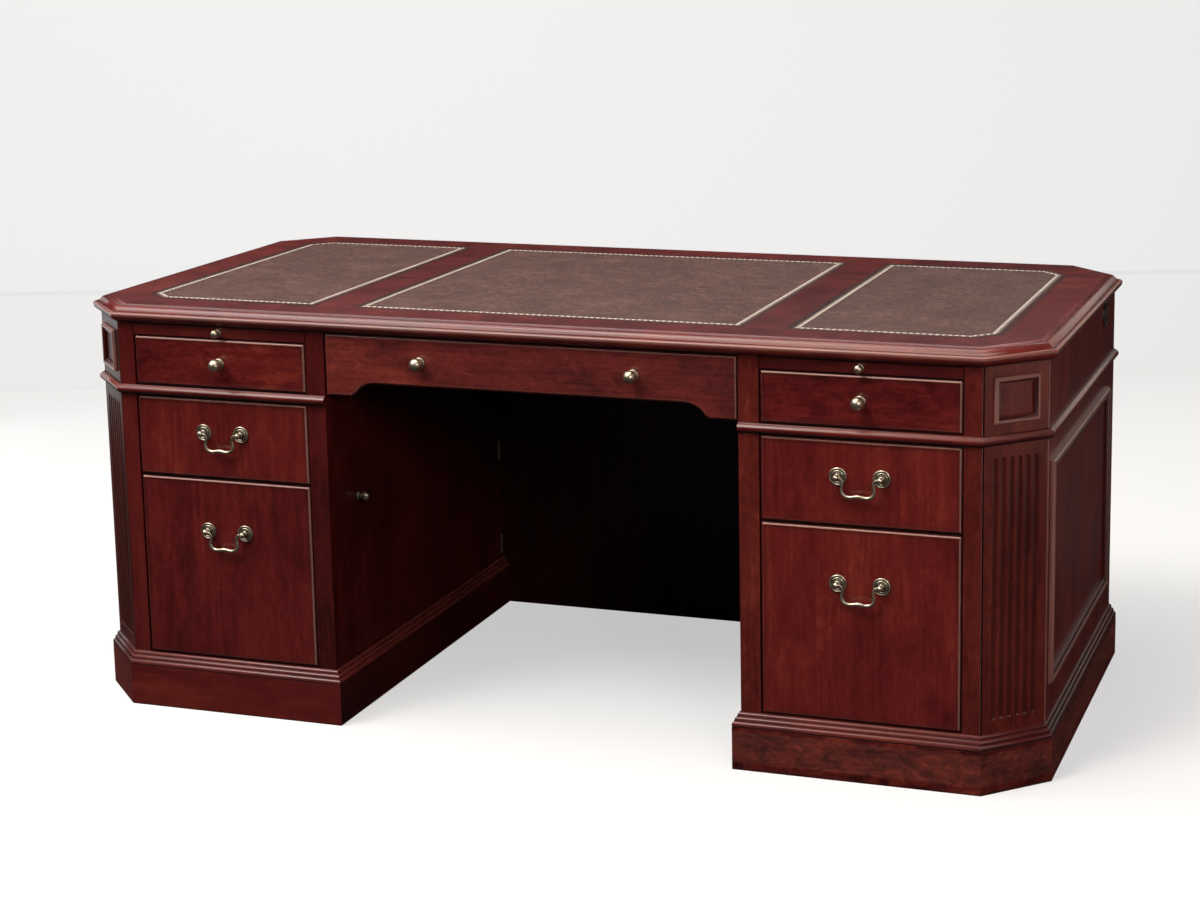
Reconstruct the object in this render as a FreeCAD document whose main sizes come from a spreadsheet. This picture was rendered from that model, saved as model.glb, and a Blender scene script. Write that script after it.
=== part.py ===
import FreeCAD, Part
import math
import os
import re

import Sketcher
from FreeCAD import Placement, Rotation, Vector

# A partners desk: two canted pedestals under one canted top with three inset leathers.
# X runs along the width towards the right pedestal, the drawer side faces -Y, Z is up, and
# the origin is on the floor at the middle of the desk.

# The sizes that can be set by themselves, in millimetres.
SIZES = {
    # over all
    "desk_width": 1829,
    "desk_depth": 914,
    "desk_height": 762,
    "knee_width": 776,
    "cant_leg": 94,
    # top: the nose stands out from the case, the flat field stops short of the nose
    "top_thick": 31,
    "nose_out": 14,
    "field_inset": 27,
    "field_step": 1.5,
    "leather_thick": 2,
    "leather_border": 80,
    "leather_band": 88,
    "leather_knee_inset": 23,
    "nose_bead": 6,
    "nose_sag": 5,
    "nose_drop": 16,
    # case boards
    "panel_thick": 19,
    "frame_thick": 20,
    "post_wall": 28,
    "inner_stile": 36,
    "outer_stile": 30.5,
    "bottom_thick": 20,
    "division_thick": 18,
    "dust_thick": 12,
    # mouldings that wrap the case
    "plinth_height": 78,
    "plinth_thick": 36,
    "plinth_out": 13,
    "plinth_cap": 24,
    "waist_height": 17.5,
    "waist_out": 9,
    # drawers and slides
    "front_gap": 1.5,
    "bead_wide": 4,
    "bead_out": 1.5,
    "slide_height": 19.5,
    "box_height": 92,
    "mid_height": 149,
    "slide_board": 15.5,
    "slide_depth": 360,
    "box_side": 12,
    "box_floor": 6,
    "box_gap": 13,
    "box_lift": 14,
    "box_head": 20,
    "box_depth": 450,
    "deep_depth": 620,
    "short_depth": 310,
    "centre_depth": 400,
    "centre_gap": 16,
    "runner_thick": 12,
    "runner_reach": 10,
    "runner_play": 0.5,
    # shaped edge of the centre drawer
    "arch_rise": 25,
    "arch_run": 39,
    "arch_end": 59,
    "arch_quirk": 3,
    # modesty panel and cupboard
    "modesty_set_in": 87,
    "modesty_thick": 18,
    "liner_gap": 2,
    "door_front_stile": 65,
    "door_rear_stile": 17,
    "door_foot": 2,
    "door_head": 29.5,
    # applied mouldings
    "flute_count": 6,
    "flute_pitch": 16,
    "flute_wide": 10,
    "flute_deep": 3.5,
    "flute_margin": 22,
    "frame_wide": 20,
    "frame_out": 9,
    "frame_foot": 64,
    "frame_head": 40.5,
    "frame_front": 14,
    "frame_rear": 80,
    "back_frame_margin": 16,
    "square_wide": 89,
    "square_high": 78,
    "square_face": 12,
    "square_out": 7,
    # hardware
    "knob_ball": 23,
    "knob_stem": 9,
    "knob_neck": 2.3,
    "knob_base": 21,
    "knob_foot": 4.6,
    "small_knob": 0.66,
    "centre_knob_x": 200,
    "bail_span": 76,
    "bail_wire": 4.6,
    "bail_drop": 33,
    "bail_leg_x": 28,
    "bail_top_bend": 4,
    "bail_low_bend": 9,
    "rosette_wide": 31,
    "rosette_thick": 3.5,
    "post_ball": 11,
    "post_long": 14,
    "pin_play": 0.05,
    "mid_pull_drop": 63,
    "file_pull_drop": 98.5,
    "hinge_tall": 40,
    "hinge_barrel": 6,
    "hinge_pin": 3,
    "hinge_leaf": 0.6,
    "hinge_leaf_wide": 16,
    "hinge_stand": 3.5,
    "hinge_inset": 28,
    "hinge_play": 0.3,
    "door_knob_inset": 31,
    "door_knob_drop": 166,
    "cap_wide": 48,
    "cap_hole": 43,
    "cap_rim": 3,
    "cap_deep": 12,
    "cap_play": 0.5,
    "cap_set_in": 119,
    "cap_drop": 27,
}

# Places that follow from them. Faces of the case are measured from the middle of the desk.
PLACES = {
    "case_x": "desk_width / 2 - nose_out",
    "case_y": "desk_depth / 2 - nose_out",
    "case_top": "desk_height - top_thick",
    "knee_x": "knee_width / 2",
    "cant_x": "case_x - cant_leg",
    "cant_y": "case_y - cant_leg",
    "field_off": "nose_out - field_inset",
    "leather_off": "field_off - leather_border",
    "nose_z": "desk_height - nose_drop",
    "plinth_top": "plinth_height + plinth_cap",
    "inside_front": "frame_thick - case_y",
    "inside_rear": "case_y - panel_thick",
    "inside_knee": "knee_x + panel_thick",
    "open_in": "knee_x + inner_stile",
    "open_out": "cant_x - outer_stile",
    "open_mid": "(open_in + open_out) / 2",
    "floor_z": "plinth_height + bottom_thick",
    "slide_low": "case_top - front_gap - slide_height",
    "box_low": "slide_low - front_gap - box_height",
    "waist_low": "box_low - front_gap - waist_height",
    "mid_low": "waist_low - front_gap - mid_height",
    "file_low": "plinth_top + front_gap",
    "file_height": "mid_low - front_gap - file_low",
    "centre_height": "case_top - front_gap - box_low",
    "side_in": "open_in + box_gap",
    "side_out": "open_out - box_gap",
    "centre_side": "knee_x - centre_gap",
    "wall_y": "inside_front + short_depth + runner_thick",
    "liner_x": "inside_knee + liner_gap",
    "modesty_y": "inside_rear - modesty_set_in",
    "door_front_y": "inside_front + door_front_stile",
    "door_rear_y": "modesty_y - door_rear_stile",
    "door_low": "plinth_top + door_foot",
    "door_high": "waist_low - door_head",
    "frame_low": "plinth_top + frame_foot",
    "frame_high": "waist_low - frame_head",
    "leather_half": "knee_x - leather_knee_inset",
    "arch_foot": "knee_x - arch_end",
    "arch_flat": "arch_foot - arch_run",
    "cap_y": "cant_y - cap_set_in",
    "hinge_x": "hinge_stand - knee_x",
    "hinge_y": "door_rear_y + front_gap / 2",
    "cant_face": "cant_leg * sqrt(2)",
    "flute_low": "plinth_top + flute_margin",
    "flute_high": "waist_low - flute_margin",
    "flute_round": "(flute_wide^2 / 4 + flute_deep^2) / (2 * flute_deep)",
    "block_mid": "(waist_low + waist_height + case_top) / 2",
    "mid_pull_z": "mid_low + mid_height - mid_pull_drop",
    "file_pull_z": "file_low + file_height - file_pull_drop",
}

SIDES = (("right", 1), ("left", -1))

doc = FreeCAD.newDocument("PartnersDesk")
sheet = doc.addObject("Spreadsheet::Sheet", "Sizes")
pieces = []


def fill_sheet():
    """Write each size in a row of its own, with its name as the alias."""
    for row, (name, value) in enumerate(SIZES.items(), 1):
        sheet.set("A%d" % row, name)
        sheet.set("B%d" % row, str(value))
        sheet.setAlias("B%d" % row, name)
    doc.recompute()


def full(text):
    """Spell a short formula out in cells of the sheet."""
    def spell(match):
        word = match.group(0)
        if word in PLACES:
            return "(" + full(PLACES[word]) + ")"
        return "Sizes." + word if word in SIZES else word
    return re.sub(r"[a-z_]+", spell, str(text))


def number(text):
    """The value of a formula at the sizes in the sheet."""
    return float(sheet.evalExpression(full(text)))


def bind(obj, name, text):
    obj.setExpression(name, full(text))


def keep(obj, label):
    """Name a finished sub-part, so that it is written out."""
    obj.Label = label
    pieces.append(obj)
    return obj


def place(obj, x, y, z):
    for axis, text in (("x", x), ("y", y), ("z", z)):
        bind(obj, "Placement.Base." + axis, text)
    return obj


def leg(out):
    """The leg of a canted corner on an outline that stands out from the case."""
    return "(cant_leg + (%s) * (2 - sqrt(2)))" % out


def mirror(side, text):
    return "%d * (%s)" % (side, text)


# Boards and other primitives

def board(name, side, x, y, z):
    """A square-edged board between two faces along each axis, on either side of the desk."""
    low, high = x if side > 0 else ("-(%s)" % x[1], "-(%s)" % x[0])
    box = doc.addObject("Part::Box", name)
    bind(box, "Length", "(%s) - (%s)" % (high, low))
    bind(box, "Width", "(%s) - (%s)" % (y[1], y[0]))
    bind(box, "Height", "(%s) - (%s)" % (z[1], z[0]))
    return place(box, low, y[0], z[0])


def rod(name, radius, length, x, y, z, axis=Vector(0, 0, 1)):
    """A cylinder that starts at a point and runs along an axis."""
    cylinder = doc.addObject("Part::Cylinder", name)
    cylinder.Placement = Placement(Vector(), Rotation(Vector(0, 0, 1), axis))
    bind(cylinder, "Radius", radius)
    bind(cylinder, "Height", length)
    return place(cylinder, x, y, z)


def joined(name, members):
    fuse = doc.addObject("Part::MultiFuse", name)
    fuse.Shapes = members
    return fuse


def cut(name, base, tool):
    result = doc.addObject("Part::Cut", name)
    result.Base = base
    result.Tool = tool
    return result


def group(name, members):
    """Several separate solids that share one node."""
    compound = doc.addObject("Part::Compound", name)
    compound.Links = members
    return compound


# Sketches and bodies

def new_body(name):
    return doc.addObject("PartDesign::Body", name)


def sketch_on(body, name, role, **offset):
    """A sketch on one of the body's origin planes, moved by formulas along its own axes."""
    sketch = body.newObject("Sketcher::SketchObject", name)
    plane = [item for item in body.Origin.OriginFeatures if item.Role == role][0]
    sketch.AttachmentSupport = [(plane, "")]
    sketch.MapMode = "FlatFace"
    for axis, text in offset.items():
        bind(sketch, "AttachmentOffset.Base." + axis, text)
    return sketch


def arc_between(start, end, radius):
    """The short arc between two points; a positive radius turns left, a negative one right."""
    half = (end - start).Length / 2
    along = (end - start).normalize()
    away = math.sqrt(max(radius * radius - half * half, 0))
    left = Vector(-along.y, along.x, 0)
    centre = (start + end) * 0.5 + left * math.copysign(away, radius)
    first, last = (start, end) if radius > 0 else (end, start)
    angles = [math.atan2(p.y - centre.y, p.x - centre.x) for p in (first, last)]
    circle = Part.Circle(centre, Vector(0, 0, 1), abs(radius))
    return Part.ArcOfCircle(circle, angles[0], angles[1])


def draw(sketch, corners, closed=True):
    """Draw lines and arcs through corners (x, y) or (x, y, radius of the arc that ends there).

    Every corner and radius is constrained to its formula."""
    points = [Vector(number(c[0]), number(c[1]), 0) for c in corners]
    count = len(corners)
    ends = []
    for i in range(count if closed else count - 1):
        start, end, corner = points[i], points[(i + 1) % count], corners[(i + 1) % count]
        if len(corner) == 2:
            ends.append((sketch.addGeometry(Part.LineSegment(start, end), False), 1, 2))
            continue
        radius = number(corner[2])
        arc = sketch.addGeometry(arc_between(start, end, radius), False)
        ends.append((arc, 1, 2) if radius > 0 else (arc, 2, 1))
        size = sketch.addConstraint(Sketcher.Constraint("Radius", arc, abs(radius)))
        bind(sketch, "Constraints[%d]" % size, "abs(%s)" % corner[2])
    for i in range(len(ends) if closed else len(ends) - 1):
        after = ends[(i + 1) % len(ends)]
        sketch.addConstraint(Sketcher.Constraint("Coincident", ends[i][0], ends[i][2], after[0], after[1]))
    for i, corner in enumerate(corners):
        edge = (ends[i][0], ends[i][1]) if i < len(ends) else (ends[-1][0], ends[-1][2])
        for kind, text, value in (("DistanceX", corner[0], points[i].x), ("DistanceY", corner[1], points[i].y)):
            size = sketch.addConstraint(Sketcher.Constraint(kind, -1, 1, edge[0], edge[1], value))
            bind(sketch, "Constraints[%d]" % size, text)
    return sketch


def draw_circle(sketch, x, radius):
    """A circle centred on the sketch's level axis."""
    centre = Vector(number(x), 0, 0)
    circle = sketch.addGeometry(Part.Circle(centre, Vector(0, 0, 1), number(radius)), False)
    for kind, text, value in (("DistanceX", x, centre.x), ("DistanceY", "0", 0)):
        size = sketch.addConstraint(Sketcher.Constraint(kind, -1, 1, circle, 3, value))
        bind(sketch, "Constraints[%d]" % size, text)
    size = sketch.addConstraint(Sketcher.Constraint("Radius", circle, number(radius)))
    bind(sketch, "Constraints[%d]" % size, radius)
    return sketch


def rectangle(sketch, x, y):
    return draw(sketch, [(x[0], y[0]), (x[1], y[0]), (x[1], y[1]), (x[0], y[1])])


def pad(body, sketch, length, back=False):
    feature = body.newObject("PartDesign::Pad", "Pad")
    feature.Profile = sketch
    bind(feature, "Length", length)
    feature.Reversed = back
    return feature


def pocket(body, sketch, depth, back=False):
    feature = body.newObject("PartDesign::Pocket", "Pocket")
    feature.Profile = sketch
    bind(feature, "Length", depth)
    feature.Reversed = back
    return feature


def turned(body, sketch, kind="PartDesign::Revolution"):
    """Turn a half section about the upright axis of its sketch."""
    feature = body.newObject(kind, "Turned")
    feature.Profile = sketch
    feature.ReferenceAxis = (sketch, ["V_Axis"])
    feature.Angle = 360
    return feature


def run(body, section, path):
    """Run a moulding's section along a path with mitred corners."""
    feature = body.newObject("PartDesign::AdditivePipe", "Run")
    feature.Profile = (section, [""])
    feature.Spine = (path, [""])
    feature.Transition = "Right corner"
    return feature


# Outlines in plan

def octagon(out):
    """The whole desk's outline, standing out from the case; it starts at the right front."""
    x, y = "(case_x + %s)" % out, "(case_y + %s)" % out
    ax, ay = "%s - %s" % (x, leg(out)), "%s - %s" % (y, leg(out))
    return [(ax, "-" + y), (x, "-(%s)" % ay), (x, ay), (ax, y),
            ("-(%s)" % ax, y), ("-" + x, ay), ("-" + x, "-(%s)" % ay), ("-(%s)" % ax, "-" + y)]


def pedestal(side, out):
    """One pedestal's outline, standing out from its faces; it starts at the knee's rear."""
    x, y = "(case_x + %s)" % out, "(case_y + %s)" % out
    ax, ay = "%s - %s" % (x, leg(out)), "%s - %s" % (y, leg(out))
    knee = "knee_x - (%s)" % out
    points = [(knee, y), (knee, "-" + y), (ax, "-" + y), (x, "-(%s)" % ay), (x, ay), (ax, y)]
    return [(mirror(side, px), py) for px, py in points]


def outward(section):
    """Turn a section (out from the case, z, radius) into the plane across the front run."""
    return [("-case_y - (%s)" % c[0], c[1]) + tuple("-(%s)" % r for r in c[2:]) for c in section]


# Sections of the mouldings, outwards from the case

NOSE_SECTION = [
    ("field_off", "case_top"),
    ("field_off", "desk_height - field_step"),
    ("field_off + 2", "desk_height - field_step"),
    ("field_off + 10", "desk_height - 4.6", "-14"),
    ("nose_out - nose_sag - 3", "nose_z + nose_bead + 1.2", "14"),
    ("nose_out - nose_sag - 3", "nose_z + nose_bead"),
    ("nose_out - nose_sag", "nose_z + nose_bead"),
    ("nose_out - nose_sag", "nose_z - nose_bead", "-(nose_bead^2 + nose_sag^2) / (2 * nose_sag)"),
    ("nose_out - nose_sag - 2", "nose_z - nose_bead"),
    ("1.5", "case_top + 2.5", "9"),
    ("1.5", "case_top"),
]

WAIST_SECTION = [
    ("0", "waist_low"),
    ("0", "waist_low + waist_height"),
    ("waist_out - 6", "waist_low + waist_height"),
    ("waist_out - 6", "waist_low + waist_height - 1.5"),
    ("waist_out - 4", "waist_low + waist_height - 1.5"),
    ("waist_out - 4", "waist_low + waist_height - 11", "-4.9"),
    ("waist_out - 5.5", "waist_low + waist_height - 11"),
    ("1", "waist_low", "8"),
]

PLINTH_SECTION = [
    ("0", "plinth_height"),
    ("0", "plinth_top"),
    ("1", "plinth_top"),
    ("plinth_out - 8.5", "plinth_top - plinth_cap * 0.27", "-7"),
    ("plinth_out - 8.5", "plinth_top - plinth_cap * 0.31"),
    ("plinth_out - 7.7", "plinth_top - plinth_cap * 0.31"),
    ("plinth_out - 4", "plinth_top - plinth_cap * 0.58", "-7"),
    ("plinth_out - 4", "plinth_top - plinth_cap * 0.63"),
    ("plinth_out - 3.2", "plinth_top - plinth_cap * 0.63"),
    ("plinth_out", "plinth_top - plinth_cap * 0.9", "-7"),
    ("plinth_out", "plinth_height"),
]


# The top

def build_top():
    body = new_body("top_board")
    outline = draw(sketch_on(body, "Outline", "XY_Plane", z="case_top"), octagon("field_off"))
    pad(body, outline, "top_thick")
    for name, corners in leather_outlines().items():
        recess = sketch_on(body, "Recess_" + name, "XY_Plane", z="desk_height")
        pocket(body, draw(recess, corners), "leather_thick")
    keep(body, "top_board")

    body = new_body("top_moulding")
    path = sketch_on(body, "Path", "XY_Plane")
    draw(path, [("0", "-case_y")] + octagon("0"))
    section = draw(sketch_on(body, "Section", "YZ_Plane"), outward(NOSE_SECTION))
    run(body, section, path)
    keep(body, "top_moulding")

    for name, corners in leather_outlines().items():
        body = new_body("leather_" + name)
        sketch = sketch_on(body, "Outline", "XY_Plane", z="desk_height - leather_thick")
        pad(body, draw(sketch, corners), "leather_thick")
        keep(body, "leather_" + name)


def leather_outlines():
    """The two outer leathers follow the cants, the middle one is a rectangle."""
    x, y = "(case_x + leather_off)", "(case_y + leather_off)"
    inner = "leather_half + leather_band"
    ax, ay = "%s - %s" % (x, leg("leather_off")), "%s - %s" % (y, leg("leather_off"))
    outer = [(inner, "-" + y), (ax, "-" + y), (x, "-(%s)" % ay), (x, ay), (ax, y), (inner, y)]
    outlines = {name: [(mirror(side, px), py) for px, py in outer] for name, side in SIDES}
    half = "(leather_half)"
    outlines["centre"] = [("-" + half, "-" + y), (half, "-" + y), (half, y), ("-" + half, y)]
    return outlines


# The case

def build_case(name, side):
    end = board("end_board_" + name, side, ("case_x - panel_thick", "case_x"), ("-cant_y", "cant_y"),
                ("plinth_height", "case_top"))
    start = mirror(side, "case_x - panel_thick / 2")
    hole = rod("end_hole_" + name, "cap_hole / 2 + cap_play", "2 * panel_thick", start + " - panel_thick",
               "cap_y", "case_top - cap_drop", Vector(1, 0, 0))
    keep(cut("end_panel_" + name, end, hole), "end_panel_" + name)

    frame_y = ("-case_y", "inside_front")
    inner = board("inner_stile_" + name, side, ("knee_x", "open_in"), frame_y, ("plinth_height", "case_top"))
    outer = board("outer_stile_" + name, side, ("open_out", "cant_x"), frame_y, ("plinth_height", "case_top"))
    low = board("low_rail_" + name, side, ("open_in", "open_out"), frame_y, ("plinth_height", "plinth_top"))
    waist = board("waist_rail_" + name, side, ("open_in", "open_out"), frame_y,
                  ("waist_low", "waist_low + waist_height"))
    keep(group("front_frame_" + name, [inner, outer, low, waist]), "front_frame_" + name)

    build_knee_panel(name, side)
    build_plinth(name, side)


def build_knee_panel(name, side):
    """The right one is a plain panel; the left one is two stiles and two rails round the door."""
    x = ("knee_x", "inside_knee")
    z = ("plinth_height", "case_top")
    if name == "right":
        keep(board("knee_panel_right", side, x, ("inside_front", "inside_rear"), z), "knee_panel_right")
        return
    front, rear = "door_front_y - front_gap", "door_rear_y + front_gap"
    keep(group("knee_panel_left", [
        board("knee_front_stile", side, x, ("inside_front", front), z),
        board("knee_rear_stile", side, x, (rear, "inside_rear"), z),
        board("knee_low_rail", side, x, (front, rear), ("plinth_height", "door_low - front_gap")),
        board("knee_top_rail", side, x, (front, rear), ("door_high + front_gap", "case_top")),
    ]), "knee_panel_left")


def build_plinth(name, side):
    body = new_body("plinth_" + name)
    pad(body, draw(sketch_on(body, "Outer", "XY_Plane"), pedestal(side, "plinth_out")), "plinth_height")
    inner = draw(sketch_on(body, "Inner", "XY_Plane"), pedestal(side, "plinth_out - plinth_thick"))
    pocket(body, inner, "plinth_height", back=True)
    keep(body, "plinth_" + name)

    body = new_body("plinth_moulding_" + name)
    middle = mirror(side, "open_mid")
    corners = pedestal(side, "0")
    path = draw(sketch_on(body, "Path", "XY_Plane"), [(middle, "-case_y")] + corners[2:] + corners[:2])
    section = draw(sketch_on(body, "Section", "YZ_Plane", z=middle), outward(PLINTH_SECTION))
    run(body, section, path)
    keep(body, "plinth_moulding_" + name)


def post(name, side, rear):
    """A canted corner post with stopped flutes, made face on and then turned to its corner."""
    body = new_body("post_" + name)
    half, slope = "cant_face / 2", "post_wall / sqrt(2)"
    outline = sketch_on(body, "Outline", "XY_Plane", z="plinth_height")
    draw(outline, [("-" + half, "0"), (half, "0"), (half + " - " + slope, slope),
                   ("-" + half + " + " + slope, slope)])
    pad(body, outline, "case_top - plinth_height")
    first = "-(flute_count - 1) / 2 * flute_pitch"
    flute = sketch_on(body, "Flute", "XZ_Plane", x=first, z="flute_round - flute_deep")
    draw(flute, [("0", "flute_low"), ("flute_round", "flute_low + flute_round", "flute_round"),
                 ("flute_round", "flute_high - flute_round"), ("0", "flute_high", "flute_round")])
    doc.recompute()
    groove = turned(body, flute, "PartDesign::Groove")
    pattern = body.newObject("PartDesign::LinearPattern", "Flutes")
    pattern.Originals = [groove]
    pattern.Direction = (flute, ["H_Axis"])
    bind(pattern, "Length", "(flute_count - 1) * flute_pitch")
    bind(pattern, "Occurrences", "flute_count")
    body.Tip = pattern
    return to_corner(body, side, rear)


def to_corner(obj, side, rear):
    """Turn a piece made face on at the origin to the middle of a canted corner."""
    angle = {(1, False): 45, (-1, False): -45, (1, True): 135, (-1, True): 225}[(side, rear)]
    obj.Placement = Placement(Vector(), Rotation(Vector(0, 0, 1), angle))
    y = "case_y - cant_leg / 2"
    return place(obj, mirror(side, "case_x - cant_leg / 2"), y if rear else "-(%s)" % y, "0")


def build_posts():
    for name, side in SIDES:
        keep(post("front_" + name, side, False), "front_post_" + name)
    keep(group("rear_posts", [post("rear_" + name, side, True) for name, side in SIDES]), "rear_posts")


def build_back():
    x, z = ("knee_x", "cant_x"), ("plinth_height", "case_top")
    backs = [board("back_" + name, side, x, ("inside_rear", "case_y"), z) for name, side in SIDES]
    keep(group("back_panels", backs), "back_panels")
    keep(board("back_apron", 1, ("-knee_x", "knee_x"), ("inside_rear", "case_y"), ("waist_low", "case_top")),
         "back_apron")

    body = new_body("modesty_panel")
    outline = sketch_on(body, "Outline", "XZ_Plane", z="-modesty_y")
    foot = "knee_x - plinth_out"
    draw(outline, [("-(%s)" % foot, "0"), (foot, "0"), (foot, "plinth_top"), ("knee_x", "plinth_top"),
                   ("knee_x", "case_top"), ("-knee_x", "case_top"), ("-knee_x", "plinth_top"),
                   ("-(%s)" % foot, "plinth_top")])
    pad(body, outline, "modesty_thick", back=True)
    keep(body, "modesty_panel")


def build_waist():
    """One moulding from the left knee corner round the back to the right knee corner."""
    body = new_body("waist_moulding")
    corners = octagon("0")
    around = [("-knee_x", "-case_y")] + corners[:3:-1] + corners[3::-1] + [("knee_x", "-case_y")]
    path = draw(sketch_on(body, "Path", "XY_Plane"), around, closed=False)
    section = draw(sketch_on(body, "Section", "YZ_Plane", z="-knee_x"), outward(WAIST_SECTION))
    run(body, section, path)
    keep(body, "waist_moulding")


def build_inner_boards():
    """Bottoms, divisions and dust boards, and the partitions of the left cupboard."""
    depth = ("inside_front", "inside_rear")
    boards = []
    for name, side in SIDES:
        boards += [
            board("bottom_" + name, side, ("inside_knee", "open_out + division_thick"), depth,
                  ("plinth_height", "floor_z")),
            board("division_" + name, side, ("open_out", "open_out + division_thick"), depth,
                  ("floor_z", "case_top")),
            board("dust_" + name, side, ("inside_knee", "open_out"), depth,
                  ("waist_low", "waist_low + dust_thick")),
        ]
    z = ("floor_z", "waist_low")
    boards.append(board("liner", -1, ("liner_x", "liner_x + dust_thick"),
                        ("inside_front", "wall_y + dust_thick"), z))
    boards.append(board("cupboard_wall", -1, ("liner_x + dust_thick", "open_out"),
                        ("wall_y", "wall_y + dust_thick"), z))
    keep(group("inner_boards", boards), "inner_boards")


# Applied mouldings

def ring(name, x, y, face, wide, out):
    """A picture-frame moulding made flat on the XZ plane, its face standing out towards -Y."""
    body = new_body(name)
    middle = "((%s) + (%s)) / 2" % x
    path = sketch_on(body, "Path", "XZ_Plane", z=face)
    draw(path, [(middle, y[0]), (x[1], y[0]), (x[1], y[1]), (x[0], y[1]), (x[0], y[0])])
    section = sketch_on(body, "Section", "YZ_Plane", z=middle)
    base = "-(%s)" % face
    steps = [("0", "0"), ("0", "0.35"), ("0.3", "1"), ("0.5", "1"), ("0.85", "0.4"), ("1", "0.4"), ("1", "0")]
    bulge = {2: "-(%s) * 0.8" % out, 4: "(%s) * 1.1" % out}
    corners = []
    for i, (across, up) in enumerate(steps):
        corner = ("%s - (%s) * %s" % (base, out, up), "(%s) + (%s) * %s" % (y[0], wide, across))
        corners.append(corner + (("-(%s)" % bulge[i],) if i in bulge else ()))
    draw(section, corners)
    run(body, section, path)
    return body


def build_applied():
    squares = []
    for end, rear in (("front", False), ("rear", True)):
        for name, side in SIDES:
            half, tall = "square_wide / 2", "square_high / 2"
            body = ring("square_%s_%s" % (end, name), ("-" + half, half),
                        ("block_mid - " + tall, "block_mid + " + tall), "0", "square_face", "square_out")
            squares.append(to_corner(body, side, rear))
    keep(group("corner_mouldings", squares), "corner_mouldings")

    frames = []
    for name, side in SIDES:
        z = ("frame_low", "frame_high")
        along = ("-cant_y + frame_front", "cant_y - frame_rear")
        if side < 0:
            along = ("-(%s)" % along[1], "-(%s)" % along[0])
        body = ring("end_frame_" + name, along, z, "case_x", "frame_wide", "frame_out")
        body.Placement = Placement(Vector(), Rotation(Vector(0, 0, 1), 90 * side))
        frames.append(body)
        margin = "back_frame_margin"
        along = ("knee_x + " + margin, "cant_x - " + margin)
        if side > 0:
            along = ("-(%s)" % along[1], "-(%s)" % along[0])
        body = ring("back_frame_" + name, along, z, "case_y", "frame_wide", "frame_out")
        body.Placement = Placement(Vector(), Rotation(Vector(0, 0, 1), 180))
        frames.append(body)
    keep(group("panel_mouldings", frames), "panel_mouldings")


def build_wire_caps():
    caps = []
    for name, side in SIDES:
        body = new_body("cap_" + name)
        sketch = sketch_on(body, "Half", "XZ_Plane")
        draw(sketch, [("0", "-cap_deep"), ("cap_hole / 2", "-cap_deep"), ("cap_hole / 2", "0"),
                      ("cap_wide / 2", "0"), ("cap_wide / 2", "cap_rim * 0.4"),
                      ("cap_wide / 2 - 3", "cap_rim", "5"), ("0", "cap_rim")])
        doc.recompute()
        turned(body, sketch)
        body.Placement = Placement(Vector(), Rotation(Vector(0, 0, 1), Vector(side, 0, 0)))
        caps.append(place(body, mirror(side, "case_x"), "cap_y", "case_top - cap_drop"))
    keep(group("wire_caps", caps), "wire_caps")


# Drawers and slides

def front_body(name, side, x, z):
    """A drawer front with a bead left proud round its field."""
    body = new_body(name)
    if side < 0:
        x = ("-(%s)" % x[1], "-(%s)" % x[0])
    face = sketch_on(body, "Face", "XZ_Plane", z="case_y + bead_out")
    pad(body, rectangle(face, x, z), "frame_thick + bead_out", back=True)
    field = sketch_on(body, "Field", "XZ_Plane", z="case_y + bead_out")
    rectangle(field, ("%s + bead_wide" % x[0], "%s - bead_wide" % x[1]),
              ("%s + bead_wide" % z[0], "%s - bead_wide" % z[1]))
    pocket(body, field, "bead_out")
    return keep(body, name)


def drawer_box(name, side, x, z, depth):
    """Sides, back and bottom boards behind a drawer front, with an inner front."""
    y0, y1 = "inside_front", "inside_front + %s" % depth
    left, right = "%s + box_side" % x[0], "%s - box_side" % x[1]
    floor = "%s + box_floor" % z[0]
    keep(group(name, [
        board(name + "_side_in", side, (x[0], left), (y0, y1), z),
        board(name + "_side_out", side, (right, x[1]), (y0, y1), z),
        board(name + "_inner_front", side, (left, right), (y0, y0 + " + box_side"), (floor, z[1])),
        board(name + "_back", side, (left, right), (y1 + " - box_side", y1), (floor, z[1])),
        board(name + "_floor", side, (left, right), (y0, y1), (z[0], floor)),
    ]), name)


def runner_pair(name, side, walls, x, low, depth):
    """The two battens that a drawer's sides run on."""
    z = ("%s - runner_play - runner_thick" % low, "%s - runner_play" % low)
    y = ("inside_front", "inside_front + %s" % depth)
    return [board(name + "_runner_in", side, (walls[0], "%s + runner_reach" % x[0]), y, z),
            board(name + "_runner_out", side, ("%s - runner_reach" % x[1], walls[1]), y, z)]


def build_drawers():
    runners = []
    kinds = {
        "box": ("box_low", "box_height", {"right": "box_depth", "left": "box_depth"}),
        "middle": ("mid_low", "mid_height", {"right": "deep_depth", "left": "short_depth"}),
        "file": ("file_low", "file_height", {"right": "deep_depth", "left": "short_depth"}),
    }
    for name, side in SIDES:
        for kind, (low, height, depths) in kinds.items():
            label = "%s_%s_drawer" % (name, kind)
            front_body(label + "_front", side, ("open_in + front_gap", "open_out - front_gap"),
                       (low, "%s + %s" % (low, height)))
            box_z = ("%s + box_lift" % low, "%s + %s - box_head" % (low, height))
            drawer_box(label + "_box", side, ("side_in", "side_out"), box_z, depths[name])
            lined = name == "left" and kind != "box"
            wall = "liner_x + dust_thick" if lined else "inside_knee"
            runners += runner_pair(label, side, (wall, "open_out"), ("side_in", "side_out"),
                                   box_z[0], depths[name])
        runners += slide_bearers(name, side)
        build_slide(name, side)
    runners += build_centre_drawer()
    keep(group("runners", runners), "runners")


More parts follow.
